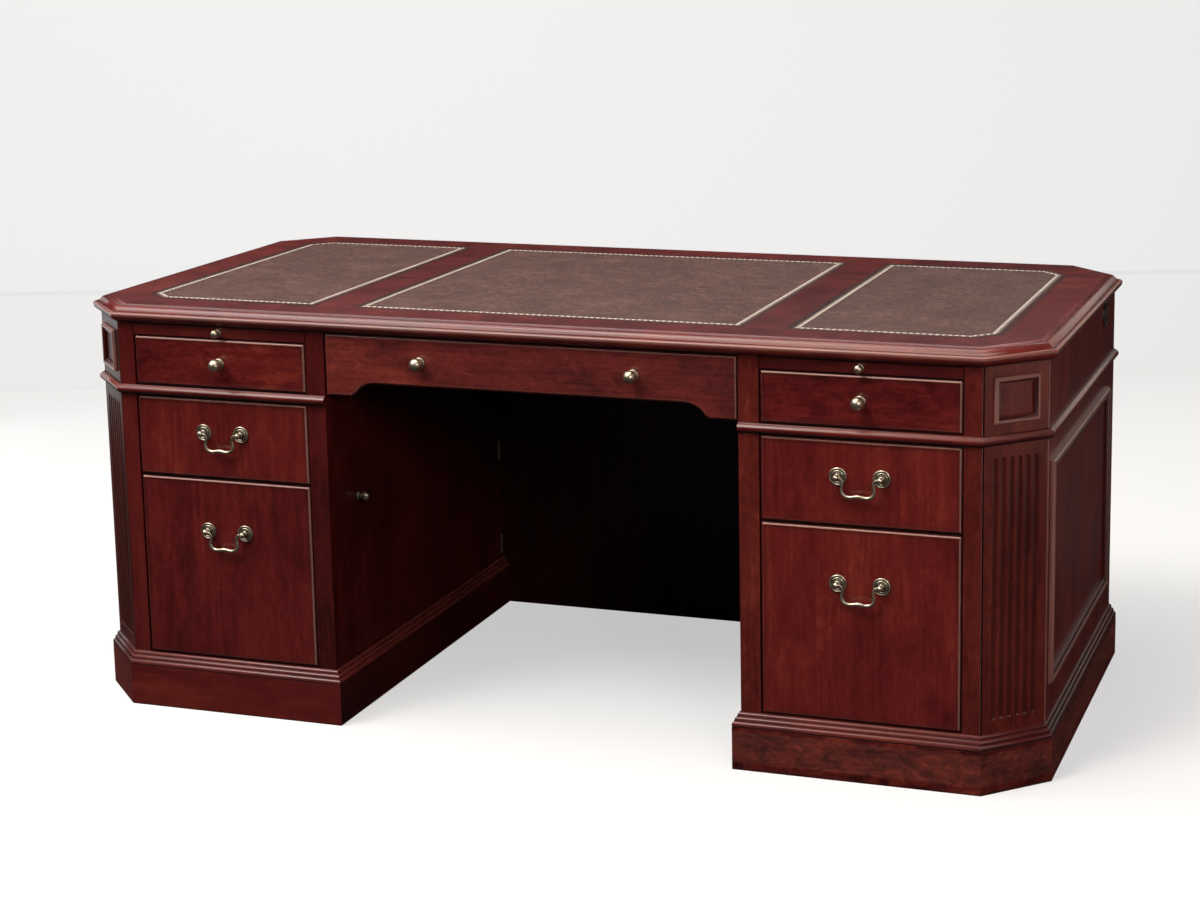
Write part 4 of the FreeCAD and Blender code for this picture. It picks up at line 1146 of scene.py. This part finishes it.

# %% [markdown]
# ## Mouldings of the case
#
# The waist moulding is a broad, soft bead that leans back at the top, planted between the
# drawers. Its bead is lightened a little as painted highlight, and the quirk under it is
# dark with glaze and painted shade. It goes all round the desk but stops at the kneehole,
# so its path is open and its two ends are closed.

# %% Waist moulding
waist = [(0, -17.5, 0.6), (0, 0, 0.6), (2.0, 0, 0.9), (2.4, -0.5, 0.6)]
waist += bow((2.6, -0.8, -0.15), (8.5, -6.4, -0.15), -0.7, 8)
waist += bow((8.5, -6.4, -0.05), (6.9, -13.8, 0.15), -1.2, 6)[1:]
waist += [(5.6, -14.6, 0.8), (1.8, -15.2, 1.0), (1.4, -17.5, 0.9)]
front_end, rear_end = Vector((knee, -case_y, 0)), Vector((knee, case_y, 0))
left_front_end, left_rear_end = Vector((-knee, -case_y, 0)), Vector((-knee, case_y, 0))
waist_path = [front_end] + case_path[1:] + case_path[:1] + [left_front_end]
work = Workpiece()
run_moulding(work, waist_path, raised(waist, waist_high), closed=False, seed="waist")
finish_piece("waist_bead", work, mahogany, "case", ["waist_moulding"])
print("waist", len(waist_path), "corners")

# %% [markdown]
# The plinth is a plain board with a capping of three reeds that step in to the case. It
# goes right round each pedestal. A board could be four boxes, but the canted corners and
# the worn lower edge are easier as one more moulding. Its kneehole side is darkened as
# painted shade. The whole left-hand plinth is darkened as painted shade too, and it is plain
# wood where the right-hand one is the bold, warm cut.

# %% Plinths
PLINTH_THICK, PLINTH_HIGH = 36, 77.6
face_out = plinth_out / MM
plinth_board = [(face_out - PLINTH_THICK, 0, 0.3), (face_out - 1.0, 0, 0.9), (face_out, 1.0, 0.7),
                (face_out, 5, 0.25), (face_out, 16, -0.05), (face_out, 70, -0.05), (face_out, 76.5, 0.15),
                (face_out - 0.6, PLINTH_HIGH, 0.8), (face_out - PLINTH_THICK, PLINTH_HIGH, 0.3)]
reeds = [(0, -24, 0.5), (0, 0, 0.8), (0.8, 0, 0.8)]
for out, top, drop in ((4.6, -0.2, 6.4), (9.0, -7.6, 6.6), (13.0, -15.2, 7.0)):
    reeds += bow((out - 3.6, top, 0.1), (out, top - drop, 0.0), -1.5, 8, glaze_and_painted_light=-0.06)
    reeds += [(out, top - drop - 0.5, 0.9), (out + 0.35, top - drop - 0.7, 1.0)]
reeds = reeds[:-1] + [(13.0, -23.8, 0.9)]
FACING = 0.3  # how squarely a face has to look one way


def paint_shade_over(work, least, way=None):
    """Paint at least this much shade on every face, or on those that look one way."""
    for face in work.mesh.faces:
        face.normal_update()
        if way is None or face.normal.dot(way) > FACING:
            for corner in face.loops:
                corner[work.glaze_and_painted_light] = max(corner[work.glaze_and_painted_light], least)


# Painted shade: on the kneehole sides, and over the whole left-hand plinth.
KNEE_SIDE_SHADE, LEFT_PLINTH_SHADE = 0.6, 0.25
pedestal_paths = {
    "right": [front_end] + case_path[1:5] + [rear_end],
    "left": [left_rear_end] + case_path[5:8] + case_path[:1] + [left_front_end],
}
for side, sign in SIDES:
    board, mouldings = Workpiece(), Workpiece()
    run_moulding(board, pedestal_paths[side], plinth_board, seed="plinth " + side)
    run_moulding(mouldings, pedestal_paths[side], raised(reeds, skirting_top), seed="reeds " + side)
    if side == "left":
        paint_shade_over(board, LEFT_PLINTH_SHADE)
    for work in (board, mouldings):
        paint_shade_over(work, KNEE_SIDE_SHADE, -X * sign)
    plinth_wood = figured_mahogany if side == "right" else mahogany
    finish_piece("plinth_board_" + side, board, plinth_wood, "case", ["plinth_" + side])
    finish_piece("plinth_reeds_" + side, mouldings, mahogany, "case", ["plinth_moulding_" + side])
print("plinth reeds:", len(reeds), "points")

# %% [markdown]
# The applied mouldings are four mitred lengths each, like picture frames: large ones on
# the ends and the back, small ones round the canted corners above the waist. Their section
# rises steeply to a flat band, where the finish is worn and lightened, partly as painted
# highlight, and then hollows to a fine lip.


# %% Picture-frame mouldings
def applied_section(wide, out, worn):
    """A raised, hollowed section that lies inside its outline."""
    section = [(0.2, -0.5, 1.0), (0.2, 0.06 * out, 0.8), (0, 0.1 * out, worn)]
    section += bow((0, 0.55 * out, worn), (-0.16 * wide, out, worn), -0.05 * wide, 5)
    section += [(-0.48 * wide, 0.94 * out, worn), (-0.50 * wide, 0.86 * out, 0.8)]
    section += bow((-0.53 * wide, 0.86 * out, 0.7), (-0.84 * wide, 0.42 * out, 0.8), 0.06 * wide, 5)
    section += [(-0.86 * wide, 0.5 * out, 0.1), (-0.97 * wide, 0.5 * out, 0.0), (-wide, 0.36 * out, 0.6),
                (-wide, -0.5, 1.0)]
    return section


def rectangle(u0, u1, v0, v1):
    return [Vector((u0, v0, 0)), Vector((u1, v0, 0)), Vector((u1, v1, 0)), Vector((u0, v1, 0))]


# The band's lighter tone is wear and painted highlight.
PICTURE_FRAME_WIDE, APPLIED_WORN_HIGHLIGHT = 20, -0.45
work = Workpiece()
for number, (low, high) in enumerate(solids_of("panel_mouldings")):
    centre, size = (low + high) / 2, high - low
    if size.x < size.y:
        side = math.copysign(1, centre.x)
        face, half, out = laid_on((side * case_x, centre.y, centre.z), Y * side), size.y / 2, size.x
    else:
        face, half, out = laid_on((centre.x, case_y, centre.z), -X), size.x / 2, size.y
    section = applied_section(PICTURE_FRAME_WIDE, out / MM, APPLIED_WORN_HIGHLIGHT)
    run_moulding(work.at(face), rectangle(-half, half, -size.z / 2, size.z / 2), section,
                 seed="frame %d" % number)
finish_piece("picture_frames", work, mahogany, "case", ["panel_mouldings"])
print("picture frames:", number + 1)

# %% [markdown]
# ## Corner posts
#
# Each canted corner is a post. High on it, above the waist, sits a small square frame of
# the same applied moulding. A frame for the canted face makes it easy: the square is drawn
# once, flat, and laid on all four corners.

# %% Squares on the canted corners
CANTS = {
    "front_post_right": (1, -1), "front_post_left": (-1, -1),
    "rear_post_right": (1, 1), "rear_post_left": (-1, 1),
}


def cant_face(signs):
    """The frame of a canted corner's face, with its origin at floor height."""
    sx, sy = signs
    way = Vector((-sy, sx, 0)).normalized()
    return laid_on((sx * (case_x - cant / 2), sy * (case_y - cant / 2), 0), way)


SQUARE_HALF_WIDE, SQUARE_HALF_HIGH, SQUARE_FACE, SQUARE_OUT = 44.5 * MM, 39 * MM, 12, 7
square_z = (lowest("corner_mouldings", 2) + highest("corner_mouldings", 2)) / 2
square = rectangle(-SQUARE_HALF_WIDE, SQUARE_HALF_WIDE, square_z - SQUARE_HALF_HIGH,
                   square_z + SQUARE_HALF_HIGH)
square_section = applied_section(SQUARE_FACE, SQUARE_OUT, APPLIED_WORN_HIGHLIGHT)
work = Workpiece()
for name, signs in CANTS.items():
    run_moulding(work.at(cant_face(signs)), square, square_section, seed="square " + name)
finish_piece("corner_squares", work, mahogany, "case", ["corner_mouldings"])
print("corner squares:", len(CANTS))

# %% [markdown]
# Below, the post has six flutes that end in round scoops. They could be cut with booleans,
# which leave long, thin triangles that shade badly. Instead one flute is drawn as a tile,
# from a few nested stadium outlines that sink into the wood.

# %% Flute tile
FLUTES, FLUTE_PITCH, FLUTE_WIDE, FLUTE_DEEP = 6, 16 * MM, 9.4 * MM, 3.3 * MM
FLUTE_MARGIN, RIM_WIDE, RIM_DEEP = 22 * MM, 0.35 * MM, 0.22 * MM
# The rims and scoops of the flutes are darkened with glaze and painted shade.
RIM_GLAZE_AND_SHADE, SCOOP_GLAZE_AND_SHADE = 0.5, 0.38
SCOOP_SHARES, END_STEPS = (0.93, 0.8, 0.62, 0.42, 0.2), 8  # rings of a scoop, and its round ends
flute_low, flute_high = skirting_top + FLUTE_MARGIN, waist_low - FLUTE_MARGIN
post_low, post_high = lowest("front_post_right", 2), highest("front_post_right", 2)
flute_round = (FLUTE_WIDE ** 2 / 4 + FLUTE_DEEP ** 2) / (2 * FLUTE_DEEP)


def stadium(half_wide, depth):
    """A stadium outline at a depth below the face: right side first, going round the top."""
    low, high = flute_low + FLUTE_WIDE / 2, flute_high - FLUTE_WIDE / 2
    turns = [math.pi * i / END_STEPS for i in range(END_STEPS + 1)]
    top = [(half_wide * math.cos(a), high + half_wide * math.sin(a), -depth) for a in turns]
    foot = [(-half_wide * math.cos(a), low - half_wide * math.sin(a), -depth) for a in turns]
    return top + foot


def flute_tile():
    work = Workpiece()
    rings = [(FLUTE_WIDE / 2 + RIM_WIDE, 0.0, 0.0), (FLUTE_WIDE / 2, RIM_DEEP, RIM_GLAZE_AND_SHADE)]
    for share in SCOOP_SHARES:
        half = share * FLUTE_WIDE / 2
        rings.append((half, math.sqrt(flute_round ** 2 - half ** 2) - flute_round + FLUTE_DEEP, SCOOP_GLAZE_AND_SHADE))
    rows = [[work.point(p, glaze_and_painted_light) for p in stadium(half, depth)] for half, depth, glaze_and_painted_light in rings]
    work.skin(rows, Y)
    work.face(rows[-1], Y, Vector())
    edge = FLUTE_PITCH / 2
    rim, quarter = rows[0], len(rows[0]) // 4
    corners = [work.point(p) for p in ((edge, post_low, 0), (edge, post_high, 0), (0, post_high, 0),
                                       (-edge, post_high, 0), (-edge, post_low, 0), (0, post_low, 0))]
    right_rim, left_rim = rim[quarter::-1] + rim[:-quarter - 2:-1], rim[-quarter - 1:quarter - 1:-1]
    work.face([corners[5]] + corners[:3] + right_rim, Y, Vector())
    work.face(corners[2:] + left_rim, Y, Vector())
    mesh = bpy.data.meshes.new("flute_tile")
    work.mesh.to_mesh(mesh)
    work.mesh.free()
    return new_object("flute_tile", mesh)


print("a flute is", round(flute_high - flute_low, 4), "long")

# %% [markdown]
# The six flutes are one tile side by side, which is a rule again. A second tree lays points
# in a row at the flutes' pitch and puts the tile on each.


# %% Row of flutes
def row_tree():
    tree, given = group_with("tiles_in_a_row", [
        ("Start", "Geometry"), ("Tile", "Object"), ("Count", "Int"), ("Pitch", "Float"),
        ("Finish", "Material")], "Row")
    step = add(tree, "ShaderNodeCombineXYZ", {"X": given["Pitch"]})
    line = add(tree, "GeometryNodeMeshLine", {"Count": given["Count"], "Offset": step.outputs[0]})
    tile = add(tree, "GeometryNodeObjectInfo", {"Object": given["Tile"]})
    placed = add(tree, "GeometryNodeInstanceOnPoints", {
        "Points": line.outputs[0], "Instance": tile.outputs["Geometry"]})
    return handed_out(tree, placed, given["Finish"], "Row")


tile = flute_tile()
flutes = grown("flutes", no_lines, row_tree(),
               Tile=tile, Count=FLUTES, Pitch=FLUTE_PITCH, Finish=mahogany)
bpy.data.objects.remove(tile)
print("flutes:", FLUTES, "with", len(flutes.polygons), "faces")

# %% [markdown]
# A post is the row of flutes, a plain margin each side, and a carcase behind that closes it
# into one solid board. A fine groove runs down each long edge, dark at its bottom with glaze
# and painted shade, with its outer wall lightened as painted highlight, so the post stands
# apart from the boards on either side.

# %% Building a post
half_face = cant / math.sqrt(2)
half_row = FLUTES * FLUTE_PITCH / 2
post_thick = highest("end_panel_right", 0) - lowest("end_panel_right", 0)
back_half = half_face - post_thick
BACK_GLAZE = 0.4
# Down each edge: an outer wall lightened as painted highlight, and a bottom dark with glaze and painted
# shade.
CORNER_GROOVE = [(0.0, -0.3, -0.8), (1.6, -1.2, -0.8), (2.0, -2.4, 1.0), (3.3, -2.4, 1.0),
                 (4.0, -0.25, 0.8), (5.0, 0, 0.0)]


def lay_flutes(work, face, name):
    """Lay the row of flutes on a canted face, with the post's own grain."""
    row = flutes.copy()
    row.transform(face @ Matrix.Translation((FLUTE_PITCH / 2 - half_row, 0, 0)))
    known = len(work.mesh.faces)
    work.mesh.from_mesh(row)
    bpy.data.meshes.remove(row)
    work.mesh.faces.ensure_lookup_table()
    for new_face in work.mesh.faces[known:]:
        work.paint(new_face, Y, cut_from(name))


def close_post(work, name):
    """Add the margins with their grooves, the back and the two ends."""
    groove = [(u * MM - half_face, w * MM, glaze_and_painted_light) for u, w, glaze_and_painted_light in CORNER_GROOVE]
    outline = groove + [(-half_row, 0, 0.0), (half_row, 0, 0.0)]
    outline += [(-u, w, glaze_and_painted_light) for u, w, glaze_and_painted_light in groove[::-1]]
    outline += [(back_half, -post_thick, BACK_GLAZE), (-back_half, -post_thick, BACK_GLAZE)]
    low = [work.point((u, post_low, w), glaze_and_painted_light) for u, w, glaze_and_painted_light in outline]
    high = [work.point((u, post_high, w), glaze_and_painted_light) for u, w, glaze_and_painted_light in outline]
    row_start = len(groove)
    for i in range(len(outline)):
        if i != row_start:
            j = (i + 1) % len(outline)
            work.face((low[i], low[j], high[j], high[i]), Y, cut_from(name))
    seams = [-half_row + i * FLUTE_PITCH / 2 for i in range(2 * FLUTES - 1, 0, -1)]
    for points, level in ((low, post_low), (high, post_high)):
        row = [work.point((u, level, 0)) for u in seams]
        work.face(points[:row_start + 1] + row[::-1] + points[row_start + 1:], X, cut_from(name))


print("a post is", round(post_high - post_low, 4), "high")

# %% [markdown]
# The front posts are a piece each, and the two at the rear share one. Separate faces would
# show a seam beside the flutes, so what meets is welded. The left-hand front post is
# darkened all over as painted shade, so it is the darkest of them.

# %% Posts
LEFT_POST_SHADE = 0.5
for node, posts in (("front_post_right", ["front_post_right"]), ("front_post_left", ["front_post_left"]),
                    ("rear_posts", ["rear_post_right", "rear_post_left"])):
    work = Workpiece()
    for post in posts:
        face = cant_face(CANTS[post])
        lay_flutes(work.at(face), face, post)
        close_post(work, post)
    if node == "front_post_left":
        paint_shade_over(work, LEFT_POST_SHADE)
    finish_piece("fluted_" + node, work.weld(), warm_mahogany, "case", [node])
bpy.data.meshes.remove(flutes)
print("posts:", len(CANTS))

# %% [markdown]
# ## Drawer fronts
#
# Every drawer front of the pedestals stands a little proud of its frame, and its edge is
# worked to a soft round with a low bead that fades into the face. A bevel has one even
# curve, so the edge is a section of its own. The round is lightened along the top and the
# right as painted highlight, and the gap behind it and the foot of the bead are darkened
# with glaze and painted shade. The lower fronts were cut with their grain upright, the upper
# ones lie along.

# %% Pedestal drawer fronts
FRONT_THICK = 20
# The pale tone on the top and right-hand rounds is a painted highlight.
RUBBED_HIGHLIGHT = -0.75
TURNED_UP, TURNED_FRONT, HARDLY_GLAZED = 0.35, -0.12, 0.5


def sawn_edge():
    """The square back of a front's edge, in millimetres."""
    return [(0, -FRONT_THICK, 1.0), (0, -4.0, 1.0), (-1.4, -3.6, 1.0)]


def rounded_edge():
    """From the back face round the edge to the field."""
    section = sawn_edge() + bow((-1.5, -2.6, 0.45), (-4.9, 1.45, -0.2), -1.2, 8)
    return section + [(-5.6, 1.5, 0.0), (-7.0, 1.1, 0.45), (-8.6, 0.7, 0.25), (-12.5, 0.6, 0.0)]


def paint_edge_highlight(work):
    """Paint a highlight with the pale rubbed tone on the top and the right-hand rounds."""
    for face in work.mesh.faces:
        face.normal_update()
        if max(face.normal.x, face.normal.z) > TURNED_UP and face.normal.y < TURNED_FRONT:
            for corner in face.loops:
                if corner[work.glaze_and_painted_light] < HARDLY_GLAZED:
                    corner[work.glaze_and_painted_light] = RUBBED_HIGHLIGHT


for drawer in PEDESTAL_DRAWERS:
    low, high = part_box(drawer + "_front")
    outline = rectangle(low.x, high.x, low.z, high.z)
    grain_way, front_wood = (X, mottled_mahogany) if "_box_" in drawer else (Y, mahogany)
    work = Workpiece().at(FRONT_FACE)
    shaped_board(work, outline, rounded_edge(), grain_way, drawer)
    paint_edge_highlight(work)
    finish_piece(drawer + "_face", work, front_wood, drawer, [drawer + "_front"])
print("drawer fronts:", len(PEDESTAL_DRAWERS))

# %% [markdown]
# The centre drawer's front has no bead. Its lower edge is sawn up between two coved
# corners to clear the knees, so half of its outline is drawn and mirrored.

# %% Centre drawer front
ARCH_RISE, ARCH_RUN, ARCH_END, ARCH_QUIRK, ARCH_BULGE = 25, 39, 59, 3, 5.9
low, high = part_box("centre_drawer_front")
foot_x = (knee / MM) - ARCH_END
flat_x = foot_x - ARCH_RUN
base = low.z / MM
rise = bow((foot_x, base + ARCH_QUIRK, 0), (flat_x, base + ARCH_RISE, 0), ARCH_BULGE, 10)
lower_edge = [(foot_x + ARCH_QUIRK, base, 0), (foot_x + ARCH_QUIRK, base + ARCH_QUIRK, 0)] + rise
half_outline = [(high.x / MM, high.z / MM, 0), (high.x / MM, base, 0)] + lower_edge
half_outline = [Vector((x * MM, z * MM, 0)) for x, z, _ in half_outline]
mirrored = [Vector((-p.x, p.y, 0)) for p in half_outline[::-1]]
outline = (half_outline + mirrored)[::-1]
front_edge = sawn_edge() + bow((-1.5, -2.6, 0.1), (-4.2, 0.1, -0.2), -0.9, 6)
front_edge += [(-5.5, 0.1, -0.04), (-7.0, 0.1, -0.04)]
work = Workpiece().at(FRONT_FACE)
shaped_board(work, outline, front_edge, X, "centre front")
paint_edge_highlight(work)
finish_piece("centre_drawer_face", work, mottled_mahogany, "centre_drawer", ["centre_drawer_front"])
print("centre front:", len(outline), "points round")

# %% [markdown]
# The writing slides are thin boards with a thicker lip, so that the lip fills its slot when
# the slide is pushed home. A step could be cut in one thick board, but two eased boards in
# one piece look the same, and the lip keeps its own grain.

# %% Writing slides
# The lip is darkened as painted shade, for the shadow of the top's nose over it.
LIP_SHADE, LIP_UNDER, LIP_OVER = 0.35, 1.5 * MM, 2.5 * MM
lip_rear = -case_y + FRONT_THICK * MM
for side, _ in SIDES:
    low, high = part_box("writing_slide_" + side)
    work = Workpiece()
    eased_board(work, low, Vector((high.x, lip_rear, high.z)), X, "lip " + side, painted_shade=LIP_SHADE)
    eased_board(work, Vector((low.x, lip_rear, low.z + LIP_UNDER)),
                Vector((high.x, high.y, high.z - LIP_OVER)), X, "slide " + side)
    finish_piece("slide_board_" + side, work, mahogany, side + "_writing_slide", ["writing_slide_" + side])
print("slides:", len(SIDES))

# %% [markdown]
# ## Brass
#
# Knobs and rosettes are turned, so each is a profile spun round its axis. Profiles are
# lists of (radius, out, glaze) in millimetres, from the tip back to the wood. The patina is
# darkest in the turned grooves.


# %% Turning
TURN_STEPS, CAP_STEPS = 48, 64


def turn_on_lathe(work, place, profile, steps=TURN_STEPS):
    """Spin a profile about the third axis of a face's frame. Poles have radius 0."""
    work.at(place)
    turns = [math.tau * i / steps for i in range(steps)]
    rows = []
    for radius, out, glaze_and_painted_light in profile:
        if radius == 0:
            rows.append([work.point((0, 0, out * MM), glaze_and_painted_light)] * steps)
        else:
            rows.append([work.point((radius * MM * math.cos(a), radius * MM * math.sin(a), out * MM), glaze_and_painted_light)
                         for a in turns])
    work.skin(rows, Z)
    work.face(rows[-1], Z, Vector())


print("turned pieces have", TURN_STEPS, "sides")

# %% [markdown]
# A knob is a ball on a short stem, with a turned base. Its ball is worked out from its
# radius and the place where the stem cuts it, so the knob has no flat spots. The small knobs
# of the slides and of the kneehole door are the same knob at another scale.


# %% Knobs
POLISHED = -0.05


def ball(radius, centre, last, steps, glaze_and_painted_light):
    """Profile points of a ball, from its tip round to an angle in degrees."""
    turns = [math.radians(last * step / steps) for step in range(steps + 1)]
    return [(radius * math.sin(a), centre + radius * math.cos(a), glaze_and_painted_light) for a in turns]


def knob_profile(scale=1.0):
    knob_ball, stem, neck, foot, base_r = 11.5, 4.5, 2.3, 4.6, 10.5
    centre = foot + neck + math.sqrt(knob_ball ** 2 - stem ** 2)
    last = 180 - math.degrees(math.asin(stem / knob_ball))
    profile = ball(knob_ball, centre, last, 18, POLISHED)
    profile += [(stem + 0.5, foot + neck - 0.5, 0.9), (stem + 0.1, foot + neck - 1.2, 0.8),
                (stem, foot + 0.2, 0.8), (stem + 0.9, foot - 0.6, 0.8), (6.6, foot - 1.5, 0.5),
                (7.6, foot - 1.9, 0.9), (8.0, foot - 1.9, 0.9), (8.7, foot - 1.5, 0.1),
                (9.6, foot - 1.8, 0.1), (10.3, foot - 2.8, 0.3), (base_r, 1.0, 0.6), (base_r, -0.3, 1.0)]
    return [(radius * scale, out * scale, glaze_and_painted_light) for radius, out, glaze_and_painted_light in profile]


def in_brass(name, work, body, node):
    finish_piece(name, work, antique_brass, body, [node])


def middle(node):
    low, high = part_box(node)
    return (low + high) / 2


SLIDE_KNOB, DOOR_KNOB = 0.66, 0.78
for side, _ in SIDES:
    for kind, body, scale in (("box_knob", "box_drawer", 1.0), ("slide_knob", "writing_slide", SLIDE_KNOB)):
        node = "%s_%s" % (side, kind)
        place = middle(node)
        work = Workpiece()
        turn_on_lathe(work, laid_on((place.x, -case_y, place.z), X), knob_profile(scale))
        in_brass(node + "_brass", work, "%s_%s" % (side, body), node)
low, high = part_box("centre_knobs")
work = Workpiece()
for x in (low.x + (high.z - low.z) / 2, high.x - (high.z - low.z) / 2):
    turn_on_lathe(work, laid_on((x, -case_y, (low.z + high.z) / 2), X), knob_profile())
in_brass("centre_knobs_brass", work, "centre_drawer", "centre_knobs")
place = middle("door_knob")
work = Workpiece()
turn_on_lathe(work, laid_on((-knee, place.y, place.z), Y), knob_profile(DOOR_KNOB))
in_brass("door_knob_brass", work, "kneehole_door", "door_knob")
print("pieces with the knobs:", len(dressed))

# %% [markdown]
# A swan-neck bail hangs from two ball posts, each on a dished rosette with a beaded rim.
# The bail is cast: it leaves the posts level, swings down in a slow S, and thickens along
# the bottom, which arches up a little for the fingers.

# %% Rosettes and posts
POST_LONG, POST_BALL, BALL_ROUND = 14, 5.5, 152
rosette = ball(POST_BALL, POST_LONG, BALL_ROUND, 12, POLISHED)
rosette += [(2.5, 8.6, 0.8), (2.4, 7.4, 0.7), (3.4, 6.6, 0.8), (4.6, 6.0, 0.2), (5.2, 5.2, 0.2),
            (5.0, 4.4, 0.9), (5.6, 3.6, 0.9), (7.4, 2.5, 0.7), (8.6, 2.3, 0.9), (9.2, 3.0, 0.3),
            (9.9, 3.4, 0.0), (10.6, 3.0, 0.3), (11.2, 2.2, 0.9), (12.2, 2.1, 0.8), (13.2, 2.9, 0.2),
            (14.2, 3.3, 0.0), (15.1, 2.7, 0.1), (15.5, 1.4, 0.4), (15.5, -0.3, 1.0)]
print("rosette:", len(rosette), "rings")

# %% [markdown]
# Half of the bail's line is drawn as a few points with the casting's thickness at each, and
# mirrored. A smooth curve runs through them. A curve object could be bevelled along it, but
# then the worn grip couldn't be told from the dark ends.

# %% Bail line
BAIL_HALF = [  # across, down, thickness of the casting, in millimetres
    (38.0, 0.0, 2.5), (34.5, 0.0, 2.5), (31.2, -0.4, 2.5), (28.2, -2.8, 2.5), (26.6, -7.0, 2.4),
    (26.7, -12.0, 2.45), (27.8, -17.0, 2.6), (28.0, -22.0, 2.9), (25.6, -27.4, 3.2), (20.6, -30.8, 3.3),
    (13.5, -31.9, 3.3), (6.0, -30.9, 3.6), (0.0, -30.3, 3.9)]


def smooth_line(points, steps=4):
    """A smooth line through points of any size (Catmull-Rom)."""
    line = []
    padded = [points[0]] + points + [points[-1]]
    for a, b, c, d in zip(padded, padded[1:], padded[2:], padded[3:]):
        for step in range(steps):
            t = step / steps
            line.append(tuple(0.5 * (2 * q + (r - p) * t + (2 * p - 5 * q + 4 * r - s) * t * t
                                     + (3 * q - p - 3 * r + s) * t ** 3)
                              for p, q, r, s in zip(a, b, c, d)))
    return line + [points[-1]]


print("bail line:", len(smooth_line(BAIL_HALF)), "points in half")

# %% [markdown]
# A round section is swept along that line, square to it at every step. Each bail is a piece
# of its own, because it swings on its posts, and the posts go with the drawer.

# %% Bails
BAIL_TURNS = [math.tau * k / 16 for k in range(16)]
GRIP_HALF, GRIP_DOWN, GRIP_GLAZE, CAST_GLAZE = 20, -20, -0.1, 0.35


def cast_bail(work, place):
    """Sweep a round section along the bail's line in the plane of a face's frame."""
    work.at(place)
    line = smooth_line(BAIL_HALF + [(-x, z, r) for x, z, r in BAIL_HALF[-2::-1]])
    rows = []
    for i, (x, z, radius) in enumerate(line):
        before, after = line[max(i - 1, 0)], line[min(i + 1, len(line) - 1)]
        way = Vector((after[0] - before[0], after[1] - before[1], 0)).normalized()
        across = Vector((-way.y, way.x, 0))
        glaze_and_painted_light = GRIP_GLAZE if abs(x) < GRIP_HALF and z < GRIP_DOWN else CAST_GLAZE
        rows.append([
            work.point(Vector((x, z, 0)) * MM + (across * math.cos(a) + Z * math.sin(a)) * radius * MM, glaze_and_painted_light)
            for a in BAIL_TURNS])
    work.skin(rows, Z)
    for end in (rows[0], rows[-1]):
        work.face(end, Z, Vector())


for label in ("%s_%s" % (side, kind) for side, _ in SIDES for kind in ("middle", "file")):
    pivot_z = middle(label + "_bail_posts").z
    low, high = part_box(label + "_bail")
    centre_x, half_span = (low.x + high.x) / 2, (high.x - low.x) / 2
    posts, bail = Workpiece(), Workpiece()
    for x in (centre_x - half_span, centre_x + half_span):
        turn_on_lathe(posts, laid_on((x, -case_y, pivot_z), X), rosette)
    in_brass(label + "_rosettes", posts, label + "_drawer", label + "_bail_posts")
    cast_bail(bail, laid_on((centre_x, -case_y - POST_LONG * MM, pivot_z), X))
    in_brass(label + "_swan_neck", bail, label + "_bail_handle", label + "_bail")
print("pieces so far:", len(dressed))

# %% [markdown]
# A round cap closes the wire hole high on each end. It is moulded plastic with a rolled
# rim, a fine groove and a flat lid, so it is turned like the brass.

# %% Wire caps
cap = [(0, 1.6, 0.0), (12, 1.6, 0.0), (19.0, 1.5, 0.1), (19.4, 1.0, 0.8), (19.9, 1.0, 0.8),
       (20.3, 1.8, 0.1), (21.4, 2.8, 0.0), (22.8, 2.8, 0.0), (23.7, 2.0, 0.1), (24.0, 0.8, 0.3),
       (24.0, 0.0, 0.8), (21.5, -0.2, 0.8), (21.5, -12.0, 0.8)]
place = middle("wire_caps")
work = Workpiece()
for _, sign in SIDES:
    turn_on_lathe(work, laid_on((sign * case_x, place.y, place.z), Y * sign), cap, CAP_STEPS)
finish_piece("wire_cap_discs", work, brown_plastic, "case", ["wire_caps"])
print("wire caps:", len(SIDES))

# %% [markdown]
# The door's butt hinges are exact in the construction model, so they stay and only get the
# brass.

# %% Carried-over pieces
for node in ("hinge_plates", "door_hinges"):
    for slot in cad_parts[node].material_slots:
        slot.material = antique_brass
shown = [name for name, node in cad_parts.items() if not node.hide_render]
print("dressed pieces:", len(dressed), "carried over:", shown)

# %% [markdown]
# Last, the triangles of the dressed pieces are counted. The dressed desk may be a hair
# smaller than the construction model, where edges were eased.

# %% Triangles, and the end
triangles = sum(len(p.vertices) - 2 for o in dressed for p in o.data.polygons)
print("triangles:", triangles)
